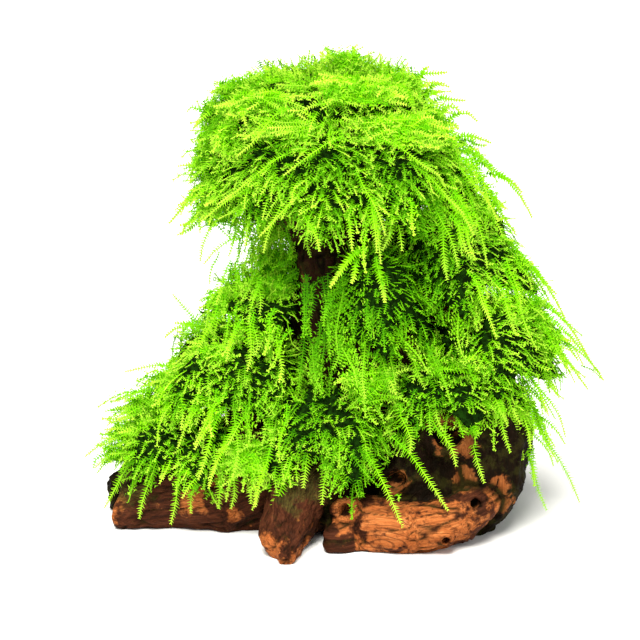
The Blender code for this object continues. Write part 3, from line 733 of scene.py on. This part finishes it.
# Rows of fronds that hang from one tier of moss over the next, by clump and in millimetres: how many, where
# the row of roots starts and ends, from root to tip, how far they bow up, brightness
curtains = {
    "moss_crown": [
        (26, (-50, -4, 164), (-24, -8, 160), (-5, -3, -26), 4, 0.45),
        (34, (-24, -8, 160), (-22, -8, 124), (-20, -2, -13), 4, 0.42),
        (8, (-42, 4, 162), (-22, 0, 160), (-6, 0, -26), 4, 0.40),
        (12, (-24, -42, 172), (30, -42, 170), (0, -8, -24), 4, 0.85),
        (16, (36, -34, 176), (66, -2, 184), (13, -6, -32), 6, 0.85),
        (9, (-62, -4, 178), (-64, -10, 164), (-16, 2, -14), 4, 0.70),
        (14, (42, -14, 202), (54, 8, 186), (17, 0, -16), 8, 0.60),
        # behind
        (34, (-54, 44, 196), (46, 44, 196), (0, 10, -32), 5, 0.60),
    ],
    "moss_right_shoulder": [
        (16, (52, -36, 134), (86, -6, 134), (13, -6, -30), 6, 0.85),
        (12, (44, -36, 168), (68, -8, 164), (10, -6, -26), 6, 0.80),
    ],
    "moss_right_skirt": [
        (9, (56, -42, 84), (92, -20, 76), (10, -8, -26), 5, 0.80),
        (14, (68, -34, 76), (96, -14, 68), (6, -7, -32), 5, 0.42),
        (9, (88, -4, 112), (92, -10, 96), (27, 0, -26), 8, 0.50),
        (12, (84, -12, 86), (88, -18, 66), (14, -4, -28), 5, 0.55),
        (5, (90, -16, 60), (88, -20, 50), (12, -4, -30), 6, 0.50),
        (16, (36, -42, 90), (74, -36, 90), (3, -7, -28), 4, 0.60),
        # behind
        (14, (58, 26, 116), (86, 14, 116), (6, 12, -30), 5, 0.60),
    ],
    "moss_left_shelf": [
        (14, (-64, -20, 118), (-30, -32, 112), (-6, -6, -26), 4, 0.85),
        (14, (-62, -8, 134), (-28, -20, 134), (-4, -9, -20), 5, 0.60),
    ],
    "moss_left_slope": [
        (14, (-88, -24, 72), (-52, -36, 72), (-8, -6, -28), 5, 0.85),
        (7, (-78, -12, 82), (-92, -14, 62), (-24, 0, -9), 7, 0.50),
        (8, (-52, -38, 72), (-32, -42, 68), (-4, -6, -34), 4, 0.70),
        (12, (-62, -38, 50), (-36, -42, 46), (0, -4, -28), 3, 0.75),
        # behind
        (16, (-84, 24, 94), (-44, 26, 94), (-4, 12, -30), 5, 0.60),
    ],
    "moss_left_skirt": [
        (7, (-94, -12, 58), (-98, -16, 42), (-28, 2, -15), 7, 0.45),
        # behind
        (16, (-106, 16, 56), (-70, 18, 56), (-4, 10, -26), 5, 0.60),
    ],
    # dim rows: painted shade under the crown
    "moss_front_cascade": [
        (10, (-4, -38, 106), (40, -42, 102), (5, -8, -26), 4, 0.50),
        (9, (-24, -28, 130), (-2, -34, 134), (-3, -10, -30), 3, 0.0),
        (9, (-22, -32, 108), (0, -36, 106), (0, -8, -30), 3, 0.15),
    ],
    "moss_crown_top": [
        (10, (24, -8, 216), (32, 8, 212), (17, 0, 8), 6, 0.80),
        # behind
        (24, (-44, 30, 224), (30, 30, 224), (0, 12, -26), 5, 0.60),
    ],
    "moss_back_upper": [
        (24, (-24, 46, 144), (34, 46, 144), (0, 14, -32), 5, 0.60),
    ],
    "moss_back_left": [
        (26, (-64, 50, 96), (-10, 50, 96), (0, 14, -34), 5, 0.60),
    ],
    "moss_back_right": [
        (26, (20, 54, 96), (74, 54, 96), (0, 14, -34), 5, 0.60),
    ],
}
# Loose tufts of short fronds every way, by clump and in millimetres: how many, middle, reach in x, y and z,
# brightness
tufts = {
    "moss_crown": [
        (110, (-61, -2, 205), (16, 14, 16), 0.48), (80, (-67, -2, 185), (13, 14, 16), 0.50),
        (50, (-66, -4, 168), (14, 12, 12), 0.55), (50, (-56, -16, 200), (12, 8, 12), 0.60),
        (60, (42, -4, 204), (14, 14, 14), 0.65), (60, (-62, -6, 160), (14, 8, 11), 0.50),
        (40, (-36, -2, 152), (14, 8, 10), 0.40),
    ],
    "moss_crown_top": [
        (90, (-53, -2, 218), (16, 13, 12), 0.50), (80, (-36, -2, 219), (18, 14, 12), 0.55),
        (80, (-12, -16, 221), (30, 8, 8), 0.80), (60, (20, -16, 221), (22, 8, 8), 0.80),
        (70, (-20, -2, 220), (17, 14, 12), 0.60), (100, (-1, -2, 230), (13, 10, 15), 0.60),
        (70, (4, -30, 224), (27, 7, 8), 0.82), (60, (-42, -28, 219), (22, 7, 8), 0.72),
        (80, (22, -2, 221), (20, 14, 13), 0.62), (90, (-24, -28, 205), (32, 9, 11), 0.80),
        (90, (24, -28, 205), (30, 9, 11), 0.80),
    ],
    "moss_right_shoulder": [
        (60, (67, -4, 160), (12, 12, 12), 0.60), (60, (67, -6, 140), (14, 9, 12), 0.55),
    ],
    "moss_left_shelf": [
        (50, (-38, -14, 123), (14, 12, 7), 0.66), (50, (-58, -12, 116), (14, 8, 8), 0.55),
        (80, (-34, -4, 135), (15, 9, 11), 0.46),
    ],
    "moss_right_skirt": [
        (60, (87, -6, 110), (15, 9, 11), 0.52), (60, (98, -8, 94), (15, 9, 11), 0.52),
        (40, (54, -40, 82), (26, 8, 17), 0.60),
    ],
    "moss_front_fringe": [
        (40, (12, -44, 82), (19, 8, 16), 0.55),
    ],
    "moss_left_slope": [
        (60, (-62, -22, 92), (18, 8, 8), 0.68), (70, (-84, -12, 74), (20, 9, 8), 0.52),
        (70, (-48, -38, 44), (16, 8, 13), 0.60),
    ],
    "moss_left_skirt": [
        (70, (-97, -12, 62), (20, 9, 9), 0.52), (80, (-104, -12, 48), (22, 9, 9), 0.52),
        (50, (-112, -12, 38), (16, 8, 8), 0.45),
    ],
}
# Places that the fronds leave free, in millimetres: middle and reach
clearings = [
    ((-33, 0, 244), 14), ((16, 0, 245), 9), ((44, 6, 226), 5), ((99, -4, 148), 16), ((94, 2, 170), 12),
    ((-92, -10, 94), 14), ((-70, -6, 142), 12), ((-80, -6, 128), 14), ((-60, -6, 139), 9),
    ((114, -8, 70), 7), ((50, -46, 60), 9),
]
# Painted shade: where the fronds are made dim, mostly in the hollow of the front under the crown, in
# millimetres: middle and reach
paintedShadePlaces = [
    ((33, -36, 139), 27), ((-20, -28, 130), 27), ((-14, -34, 106), 24), ((50, -38, 114), 20),
    ((10, -40, 132), 19), ((-6, -44, 200), 9), ((24, -44, 188), 12), ((32, -40, 170), 12),
    ((-40, -34, 172), 10), ((-2, -36, 222), 8), ((40, -38, 152), 18), ((8, -44, 112), 18),
]
mossNodes = [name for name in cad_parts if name.startswith("moss_")]


# The matted core of a clump: its solid without its thin ends, drawn in towards its own upright axis
def makeBed(node):
    bm = bmesh.new()
    mergedCopy(bm, node)
    mesh = bpy.data.meshes.new(node + "_bed")
    bm.to_mesh(mesh)
    bm.free()
    mesh = remeshed(node + "_bed", mesh, moss["bedVoxel"], moss["bedSmoothing"])
    low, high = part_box(node)
    middle = (low + high) / 2
    for vert in mesh.vertices:
        vert.co.x = middle.x + (vert.co.x - middle.x) * moss["bedShrink"]
        vert.co.y = middle.y + (vert.co.y - middle.y) * moss["bedShrink"]
        share = (vert.co.z - low.z) / (high.z - low.z)
        vert.co.z -= moss["bedDrop"] * (2 * share - 1)
        for place, reach in clearings:
            away = vert.co - Vector(place) / 1000
            apart = reach / 1000 + moss["bedGap"]
            if away.length < apart:
                vert.co += away.normalized() * (apart - away.length)
        vert.co += vert.normal * (noise.noise(vert.co / moss["bedLumpSize"]) * moss["bedLumpDepth"])
    mesh.shade_smooth()
    return mesh


# Places for fronds all over the part of a core that isn't under another one
def frondRoots(mesh, everything, chance, spread):
    mesh.calc_loop_triangles()
    roots = []
    corners = [vert.co for vert in mesh.vertices]
    cells = {}
    for triangle in mesh.loop_triangles:
        a, b, c = (corners[index] for index in triangle.vertices)
        count = triangle.area / spread ** 2 * moss["tries"]
        for turn in range(int(count) + (chance.random() < count % 1)):
            s, t = chance.random(), chance.random()
            if s + t > 1:
                s, t = 1 - s, 1 - t
            place = a + (b - a) * s + (c - a) * t
            normal = triangle.normal
            if normal.z < moss["overhang"]:
                continue
            gap = spread * (1 - moss["topThickening"] * max(normal.z, 0))
            cell = tuple(int(value // spread) for value in place)
            near = [
                other
                for i in (-1, 0, 1) for j in (-1, 0, 1) for k in (-1, 0, 1)
                for other in cells.get((cell[0] + i, cell[1] + j, cell[2] + k), [])
            ]
            if any((other - place).length < gap for other in near):
                continue
            if everything.ray_cast(place + normal * 0.001, normal, moss["cover"])[0]:
                continue
            cells.setdefault(cell, []).append(place)
            roots.append((place, normal.copy()))
    return roots


def keptOut(point):
    for middle, reach in clearings:
        away = point - Vector(middle) / 1000
        if away.length < reach / 1000:
            point = Vector(middle) / 1000 + away.normalized() * reach / 1000
    return point


# The stem of one frond: out of the core, over the roots of the next ones, and then hanging. It ends early
# where it would pass the clump's own form by more than the spill, or reach the floor.
def growStem(place, normal, middle, shape, habit, chance, core, form):
    height, length, breadth = shape
    spreading, falling, droop, straying, spilling = habit[:5]
    outX = (place.x - middle.x) * 10 + place.x * 14  # away from the clump's middle, and from the trunk
    outY = (place.y - middle.y) * 10 + normal.y * 0.4
    outward = Vector((outX, outY, 0))
    outward = outward.normalized() if outward.length > 1e-6 else Vector((0, -1, 0))
    sideways = upward.cross(outward)
    downhill = -upward + normal * normal.z
    flat = max(normal.z, 0.0) ** 2
    anyWay = Vector((chance.uniform(-1, 1), chance.uniform(-1, 1), 0))
    run = downhill * falling + outward * spreading * (1 - flat * 0.7) + anyWay * flat * 1.2
    run += sideways * chance.uniform(-straying, straying)
    run -= normal * run.dot(normal)
    run = (run.normalized() + normal * chance.uniform(*moss["lift"])).normalized()
    droop *= chance.uniform(0.4, 1.6)
    curl = chance.uniform(-moss["curl"], moss["curl"])
    spill = chance.uniform(*moss["spill"]) * (1 - 0.5 * max(normal.z, 0)) * spilling
    stride = length / moss["steps"]
    point = place - normal * moss["rootDepth"]
    points = [point.copy()]
    facing = normal.copy()
    faces = [facing.copy()]
    for turn in range(moss["steps"]):
        rise = height * (0.2 + 0.8 * (turn + 1) / moss["steps"])
        run = (run - upward * droop + run.cross(facing) * curl).normalized()
        ahead = point + run * stride
        found, way, index, distance = core.find_nearest(ahead)
        over = (ahead - found).dot(way)
        if over < rise and distance < moss["coreReach"]:
            ahead += way * (rise - over) * 0.4
            run = (ahead - point).normalized()
            facing = (facing * 0.6 + way * 0.4).normalized()
        else:
            facing = (facing * 0.85 + outward * 0.15).normalized()
        point = keptOut(point + run * stride)
        found, way, index, distance = form.find_nearest(point)
        if (point - found).dot(way) > spill or point.z < breadth * 0.8 + 0.0015:
            break
        facing = (facing - run * facing.dot(run)).normalized()
        points.append(point.copy())
        faces.append(facing.copy())
    return points, faces


def randomVector(chance):
    return Vector((chance.uniform(-1, 1), chance.uniform(-1, 1), chance.uniform(-1, 1)))


# A frond between two given places, that sways a little to the sides
def strandStem(start, tip, bow, chance):
    start, tip = Vector(start) / 1000, Vector(tip) / 1000
    side = -0.8 if start.y < 0.02 else 0.8
    middle = (start + tip) / 2 + Vector((0, -0.3, 1)) * bow / 1000
    sway = (tip - start).cross(Vector((0, 1, 0))).normalized() * chance.uniform(-moss["sway"], moss["sway"])
    points = []
    faces = []
    steps = moss["steps"] + 3
    for turn in range(steps + 1):
        share = turn / steps
        point = start * (1 - share) ** 2 + middle * 2 * share * (1 - share) + tip * share ** 2
        point += sway * math.sin(share * math.tau)
        way = ((middle - start) * (1 - share) + (tip - middle) * share).normalized()
        facing = Vector((point.x * 4, side, 0.35))
        facing = (facing - way * facing.dot(way)).normalized()
        points.append(point)
        faces.append(facing)
    return points, faces


def lengthsAlong(outline, longest, points):
    return list(np.interp(np.linspace(0, 1, len(points)), *outlines[outline]) * longest)


# A frond's brightness, with painted shade taken off in the painted shade places
def shaded(tone, place):
    for middle, reach in paintedShadePlaces:
        tone -= 1.2 * max(0.0, 1 - (place * 1000 - Vector(middle)).length / reach)
    return min(max(tone, 0.02), 0.98)


# What the frond tree needs to know along each stem, by name
def stemValues(points, faces, tone, shoot, leaf, gap, girth=1.0, outline="comb"):
    count = len(points)
    return {
        "points": points,
        "facing": [face[:] for face in faces],
        "tone": [tone] * count,
        "breadth": lengthsAlong("fern", shoot, points),
        "leaf": lengthsAlong(outline, leaf, points),
        "gap": [gap] * count,
        "girth": [girth] * count,
    }


# Fronds that grow all over the core
def grownStems(node, bed, core, form, chance):
    low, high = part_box(node)
    middle = (low + high) / 2
    habit = habits.get(node, usualHabit)
    spread = moss["spread"] * (moss["backThinning"] if "back" in node else 1)
    stems = []
    for place, normal in frondRoots(bed, core, chance, spread):
        pick = chance.random()
        if noise.noise(place / moss["hollowSize"]) < moss["hollowBelow"]:
            pick *= 0.5
        for share, height, shortest, longest, shoot, gap, leaf, bright, combs in layers:
            if pick < share:
                break
            pick -= share
        plain = chance.random() < combs
        breadth = shoot * chance.uniform(0.5, 1.2)
        shape = (height, chance.uniform(shortest, longest) * (1 - 0.3 * max(normal.z, 0)), breadth)
        points, faces = growStem(place, normal, middle, shape, habit, chance, core, form)
        if len(points) < moss["fewestPoints"]:
            continue
        tone = bright + habit[5] + noise.noise(place / moss["patchSize"]) * moss["patchTone"]
        tone = shaded(tone + chance.uniform(*moss["grownTones"]), place)
        gap *= chance.uniform(0.85, 1.2)
        leaf *= chance.uniform(*moss["plainLeaf"]) if plain else moss["shootedLeaf"]
        stems.append(stemValues(points, faces, tone, 0.0 if plain else breadth, leaf, gap))
    return stems


# Fronds that are listed one by one. A plume is two of them, and the second one is short and leaves it
# halfway.
def placedStems(node, chance):
    stems = []
    for start, tip, bow, wide, tone in strands.get(node, []):
        ferny = wide > moss["widestPlume"]
        plume = not ferny and wide > moss["widestComb"]
        for turn in range(2 if plume else 1):
            root = Vector(start).lerp(Vector(tip), 0.25 * turn)
            end = Vector(tip).lerp(Vector(start), 0.3 * turn) + randomVector(chance) * 5 * turn
            points, faces = strandStem(root, end, bow * (moss["plumeBow"] - turn if plume else 1), chance)
            shoot = wide / 1000 if ferny else 0.0
            leaf = moss["fernLeaf"] if ferny else wide / 1000 * (moss["plumeLeaf"] if plume else 1)
            girth = moss["plumeGirth"] if plume else 1.0
            outline = "plume" if plume else "comb"
            stems.append(stemValues(points, faces, tone, shoot, leaf, moss["fernGap"], girth, outline))
    return stems


# A frond of a row or a tuft
def looseStem(root, tip, bow, plainShare, tone, tones, chance):
    shoot, gap, leaf = layers[-1][4:7]
    points, faces = strandStem(root, tip, bow, chance)
    plain = chance.random() < plainShare
    shoot *= 0.0 if plain else chance.uniform(0.4, 0.9)
    leaf *= chance.uniform(*moss["plainLeaf"]) if plain else moss["shootedLeaf"]
    tone = shaded(tone + chance.uniform(*tones), tip / 1000)
    return stemValues(points, faces, tone, shoot, leaf, gap, chance.uniform(*moss["looseGirth"]))


def rowStems(node, chance):
    stems = []
    atRoot, atTip = moss["rowJitter"]
    for count, start, end, fall, bow, tone in curtains.get(node, []):
        for turn in range(count):
            root = Vector(start).lerp(Vector(end), (turn + 0.5) / count) + randomVector(chance) * atRoot
            tip = root + Vector(fall) * chance.uniform(*moss["rowLengths"]) + randomVector(chance) * atTip
            bowed = bow * chance.uniform(*moss["rowBows"])
            stems.append(looseStem(root, tip, bowed, moss["rowPlain"], tone, moss["rowTones"], chance))
    return stems


def tuftStems(node, chance):
    stems = []
    for count, middle, reach, tone in tufts.get(node, []):
        for turn in range(count):
            root = Vector(middle) + randomVector(chance) * Vector(reach) * moss["tuftRoots"]
            way = randomVector(chance).normalized() - upward * moss["tuftFall"]
            way = way * chance.uniform(*moss["tuftLengths"])
            tip = Vector(middle) + way * Vector(reach) + randomVector(chance) * moss["tuftJitter"]
            bow = chance.uniform(*moss["tuftBows"])
            stems.append(looseStem(root, tip, bow, moss["tuftPlain"], tone, moss["tuftTones"], chance))
    return stems


# The stems as one mesh of edges, which the tree below turns into leafy fronds
def stemMesh(name, stems):
    edges = []
    first = 0
    for stem in stems:
        last = first + len(stem["points"])
        edges += zip(range(first, last - 1), range(first + 1, last))
        first = last
    columns = {key: [value for stem in stems for value in stem[key]] for key in stems[0]}
    mesh = bpy.data.meshes.new(name)
    mesh.from_pydata(columns.pop("points"), edges, [])
    storeValues(mesh, "facing", columns.pop("facing"), "FLOAT_VECTOR")
    for key, values in columns.items():
        storeValues(mesh, key, values)
    return mesh


# Side shoots to the left and right of each stem, and leaves to the left and right of stems and shoots alike
def makeFrondTree():
    tree = bpy.data.node_groups.new("frondTree", "GeometryNodeTree")
    sockets = {
        "Geometry": ("NodeSocketGeometry", None),
        "Shoot Angle": ("NodeSocketFloat", math.radians(moss["shootAngle"])),
        "Shoot Width": ("NodeSocketFloat", moss["shootWidth"]),
        "Leaf Angle": ("NodeSocketFloat", math.radians(moss["leafAngle"])),
        "Leaf Spacing": ("NodeSocketFloat", moss["leafSpacing"]),
        "Leaf Width": ("NodeSocketFloat", moss["leafWidth"]),
        "Stem Radius": ("NodeSocketFloat", moss["stemRadius"]),
        "Seed": ("NodeSocketInt", 0),
        "Leaf Material": ("NodeSocketMaterial", None),
    }
    for name, (kind, value) in sockets.items():
        socket = tree.interface.new_socket(name, in_out="INPUT", socket_type=kind)
        if value is not None:
            socket.default_value = value
    tree.interface.new_socket("Geometry", in_out="OUTPUT", socket_type="NodeSocketGeometry")
    wiring = Wiring(tree)
    given = wiring.node("NodeGroupInput", {}, {}, "Geometry")

    def attribute(name, kind="FLOAT"):
        return wiring.node("GeometryNodeInputNamedAttribute", {"data_type": kind}, {"Name": name})

    # How far along its own stem or shoot a point is, from 0 to 1
    def shareAlong():
        return wiring.node("GeometryNodeSplineParameter", {}, {}, "Factor")

    def stored(geometry, name, value):
        inputs = {"Geometry": geometry, "Name": name, "Value": value}
        return wiring.node("GeometryNodeStoreNamedAttribute", {"data_type": "FLOAT"}, inputs)

    def spacedOut(curves, gap):
        return wiring.node("GeometryNodeResampleCurve", {"mode": "LENGTH"}, {"Curve": curves, "Length": gap})

    def joined(parts):
        return wiring.node("GeometryNodeJoinGeometry", {}, {0: parts})

    def realized(instances):
        return wiring.node("GeometryNodeRealizeInstances", {}, {0: instances})

    def randomBetween(low, high, offset):
        inputs = {2: low, 3: high, "Seed": given.out("Seed") + offset}
        return wiring.node("FunctionNodeRandomValue", {"data_type": "FLOAT"}, inputs, 1)

    def vector(operation, first, second=(0, 0, 0)):
        return wiring.node("ShaderNodeVectorMath", {"operation": operation}, {0: first, 1: second})

    def scaled(way, share):
        return wiring.node("ShaderNodeVectorMath", {"operation": "SCALE"}, {0: way, "Scale": share})

    def sized(width, length):
        return wiring.node("ShaderNodeCombineXYZ", {}, {0: width, 1: length, 2: 1.0})

    def instanced(points, thing, turn, size, chosen=True):
        inputs = {"Points": points, "Selection": chosen, "Instance": thing, "Rotation": turn, "Scale": size}
        return wiring.node("GeometryNodeInstanceOnPoints", {}, inputs)

    facing = attribute("facing", "FLOAT_VECTOR")
    tangent = wiring.node("GeometryNodeInputTangent")
    across = vector("NORMALIZE", vector("CROSS_PRODUCT", tangent, facing))

    # The turn that lays a thing to one side of a stem: at an angle to it, lifted a little, its face outwards
    def sideTurn(side, angle, stray, offset):
        angle = angle + randomBetween(-stray, stray, offset)
        way = vector("ADD", scaled(tangent, angle.cosine()), scaled(across, angle.sine() * side))
        way = vector("ADD", way, scaled(facing, randomBetween(-0.15, 0.35, offset + 1)))
        tilted = vector("ADD", facing, scaled(across, randomBetween(-0.5, 0.5, offset + 2)))
        settings = {"primary_axis": "Y", "secondary_axis": "Z"}
        return wiring.node("FunctionNodeAxesToRotation", settings, {0: way, 1: tilted})

    # A shoot, and a flat spike that is one long and one wide, both along Y
    bend = {"Resolution": 4, "Start": (0, 0, 0), "Middle": (0, 0.5, 0.03), "End": (0, 1, -0.03)}
    line = wiring.node("GeometryNodeCurveQuadraticBezier", {}, bend)
    spike = wiring.node("GeometryNodeMeshCircle", {"fill_type": "NGON"}, {"Vertices": 3, "Radius": 1.0})
    spike = wiring.node("GeometryNodeTransform", {}, {"Geometry": spike, "Translation": (0.5, 0, 0)})
    flatten = {"Geometry": spike, "Scale": (1 / 1.5, 1 / 1.732, 1.0), "Rotation": (0, 0, math.pi / 2)}
    spike = wiring.node("GeometryNodeTransform", {}, flatten)

    stems = wiring.node("GeometryNodeMeshToCurve", {}, {"Mesh": given})
    stems = spacedOut(stems, attribute("gap"))
    stems = stored(stems, "along", shareAlong())
    shoots = []
    flat = []
    for side, offset in ((1, 10), (-1, 20)):
        turn = sideTurn(side, given.out("Shoot Angle"), 0.25, offset)
        size = attribute("breadth") * randomBetween(0.7, 1.2, offset + 4)
        grows = size.math("GREATER_THAN", attribute("breadth"), 0.0001)
        shoots.append(instanced(stems, line, turn, size, grows))
        flat.append(instanced(stems, spike, turn, sized(size * given.out("Shoot Width"), size), grows))
    shoots = joined([realized(joined(shoots)), stems])
    shoots = spacedOut(shoots, given.out("Leaf Spacing"))
    reach = shareAlong()
    shoots = stored(shoots, "reach", reach)
    for side, offset in ((1, 30), (-1, 40)):
        turn = sideTurn(side, given.out("Leaf Angle") * (1 - reach * 0.22), 0.2, offset)
        length = attribute("leaf") * (1.1 - reach * 0.35) * randomBetween(0.75, 1.15, offset + 4)
        width = (given.out("Leaf Width") + length * 0.05) * randomBetween(0.85, 1.15, offset + 5)
        flat.append(instanced(shoots, spike, turn, sized(width * attribute("girth"), length)))
    leaves = realized(joined(flat))
    rods = wiring.node("GeometryNodeResampleCurve", {"mode": "COUNT"}, {"Curve": stems, "Count": 5})
    rods = wiring.node("GeometryNodeSetCurveRadius", {}, {"Curve": rods, "Radius": 1.15 - shareAlong() * 0.6})
    rods = stored(rods, "reach", 1.0)
    profile = {"Resolution": 3, "Radius": given.out("Stem Radius")}
    profile = wiring.node("GeometryNodeCurvePrimitiveCircle", {}, profile)
    rods = wiring.node("GeometryNodeCurveToMesh", {}, {"Curve": rods, "Profile Curve": profile})
    whole = {"Geometry": realized(joined([leaves, rods])), "Material": given.out("Leaf Material")}
    whole = wiring.node("GeometryNodeSetMaterial", {}, whole)
    wiring.node("NodeGroupOutput", {}, {"Geometry": whole})
    return tree


# Leaves: the map's first value is the frond's brightness, painted shade included, and the second runs from
# its root to its tips
def leafMaterial():
    material, wiring = emptyMaterial("mossLeaf")
    spot = wiring.node("ShaderNodeUVMap", {"uv_map": "mossTone"})
    apart = wiring.node("ShaderNodeSeparateXYZ", {}, {0: spot})
    dark = [(0.0, (0.003, 0.030, 0.0003)), (0.5, (0.045, 0.23, 0.001)), (1.0, (0.22, 0.62, 0.003))]
    bright = [(0.0, (0.06, 0.38, 0.001)), (0.5, (0.33, 0.84, 0.003)), (1.0, (0.84, 1.0, 0.11))]
    dark = wiring.node("ShaderNodeValToRGB", {"stops": dark}, {0: apart.out("Y")})
    bright = wiring.node("ShaderNodeValToRGB", {"stops": bright}, {0: apart.out("Y")})
    colour = wiring.blend(apart.out("X"), dark, bright)
    inputs = {"Base Color": colour, "Roughness": 0.6, "Specular IOR Level": 0.03}
    shader = wiring.node("ShaderNodeBsdfPrincipled", {}, inputs)
    through = wiring.node("ShaderNodeBsdfTranslucent", {}, {"Color": (0.25, 0.76, 0.003, 1.0)})
    mixed = wiring.node("ShaderNodeMixShader", {}, {0: 0.33, 1: shader, 2: through})
    wiring.node("ShaderNodeOutputMaterial", {}, {"Surface": mixed})
    return material


# The matted core, nearly black: partly the dark of old matted moss, partly painted shade of the gaps between
# the fronds
def bedMaterial():
    material, wiring = emptyMaterial("mossBed")
    place = wiring.node("ShaderNodeTexCoord", {}, {}, "Object")
    mottle = wiring.node("ShaderNodeTexNoise", {}, {"Vector": place, "Scale": 500.0, "Detail": 4.0}, 0)
    colour = wiring.blend(mottle.step(0.38, 0.62), (0.002, 0.006, 0.0005, 1.0), (0.005, 0.022, 0.001, 1.0))
    relief = wiring.node("ShaderNodeBump", {}, {"Height": mottle, "Strength": 0.8, "Distance": 0.001})
    inputs = {"Base Color": colour, "Roughness": 0.9, "Normal": relief, "Specular IOR Level": 0.02}
    shader = wiring.node("ShaderNodeBsdfPrincipled", {}, inputs)
    wiring.node("ShaderNodeOutputMaterial", {}, {"Surface": shader})
    return material


leafFinish = leafMaterial()
bedFinish = bedMaterial()
frondTree = makeFrondTree()


# The plain mesh that the tree makes of the stems
def grownMesh(name, stems, seed):
    thing = makeObject(name, stemMesh(name, stems))
    modifier = thing.modifiers.new("fronds", "NODES")
    modifier.node_group = frondTree
    entries = frondTree.interface.items_tree
    sockets = {entry.name: entry.identifier for entry in entries if entry.in_out == "INPUT"}
    modifier[sockets["Seed"]] = seed
    modifier[sockets["Leaf Material"]] = leafFinish
    graph = bpy.context.evaluated_depsgraph_get()
    mesh = bpy.data.meshes.new_from_object(thing.evaluated_get(graph))
    spare = thing.data
    bpy.data.objects.remove(thing)
    bpy.data.meshes.remove(spare)
    return mesh


def attributeValues(mesh, name):
    values = np.zeros(len(mesh.vertices), np.float32)
    mesh.attributes[name].data.foreach_get("value", values)
    return values


# Writes each leaf's brightness and age as its place in a map, with some width so that it can be baked
def writeTones(mesh):
    corners = np.zeros(len(mesh.loops), np.int32)
    mesh.loops.foreach_get("vertex_index", corners)
    tone = attributeValues(mesh, "tone")[corners]
    along = attributeValues(mesh, "along")[corners]
    reach = attributeValues(mesh, "reach")[corners]
    order = np.arange(len(corners)) % 3
    age = np.clip(0.5 * along + 0.5 * reach, 0, 1)
    spots = np.stack([
        0.03 + 0.94 * tone + np.array([0.0, 0.008, -0.008])[order],
        0.03 + 0.76 * age + np.array([0.20, 0.0, 0.0])[order],
    ], axis=1)
    for name in ("mossTone", "OFBake"):
        layer = mesh.uv_layers.new(name=name)
        layer.data.foreach_set("uv", spots.astype(np.float32).ravel())
    for name in ("tone", "along", "reach", "facing", "breadth", "leaf", "gap", "girth"):
        if name in mesh.attributes:
            mesh.attributes.remove(mesh.attributes[name])


def makeMoss():
    beds = {node: makeBed(node) for node in mossNodes}
    woodMeshes = [bpy.data.objects[name].data for name in woodPieces]
    core = treeOf([*beds.values(), *woodMeshes])
    form = treeOf([holder.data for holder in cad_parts.values()])
    print("moss cores made")
    total = 0
    for index, (node, bed) in enumerate(beds.items()):
        chance = random.Random(moss["seed"] + index)
        stems = grownStems(node, bed, core, form, chance) + placedStems(node, chance)
        stems += rowStems(node, chance) + tuftStems(node, chance)
        fronds = grownMesh(node + "_fronds", stems, index)
        writeTones(fronds)
        fronds.materials.append(bedFinish)
        bm = bmesh.new()
        bm.from_mesh(fronds)
        first = len(bm.faces)
        bm.from_mesh(bed)
        bm.faces.ensure_lookup_table()
        last = len(fronds.materials) - 1
        for face in bm.faces[first:]:
            face.material_index = last
        bm.to_mesh(fronds)
        bm.free()
        piece = makeObject(node + "_foliage", fronds)
        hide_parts(node)
        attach(piece, "root")
        count = sum(len(face.vertices) - 2 for face in fronds.polygons)
        total += count
        print(node, len(stems), "fronds,", count, "triangles")
    print("moss made:", total, "triangles")


makeMoss()
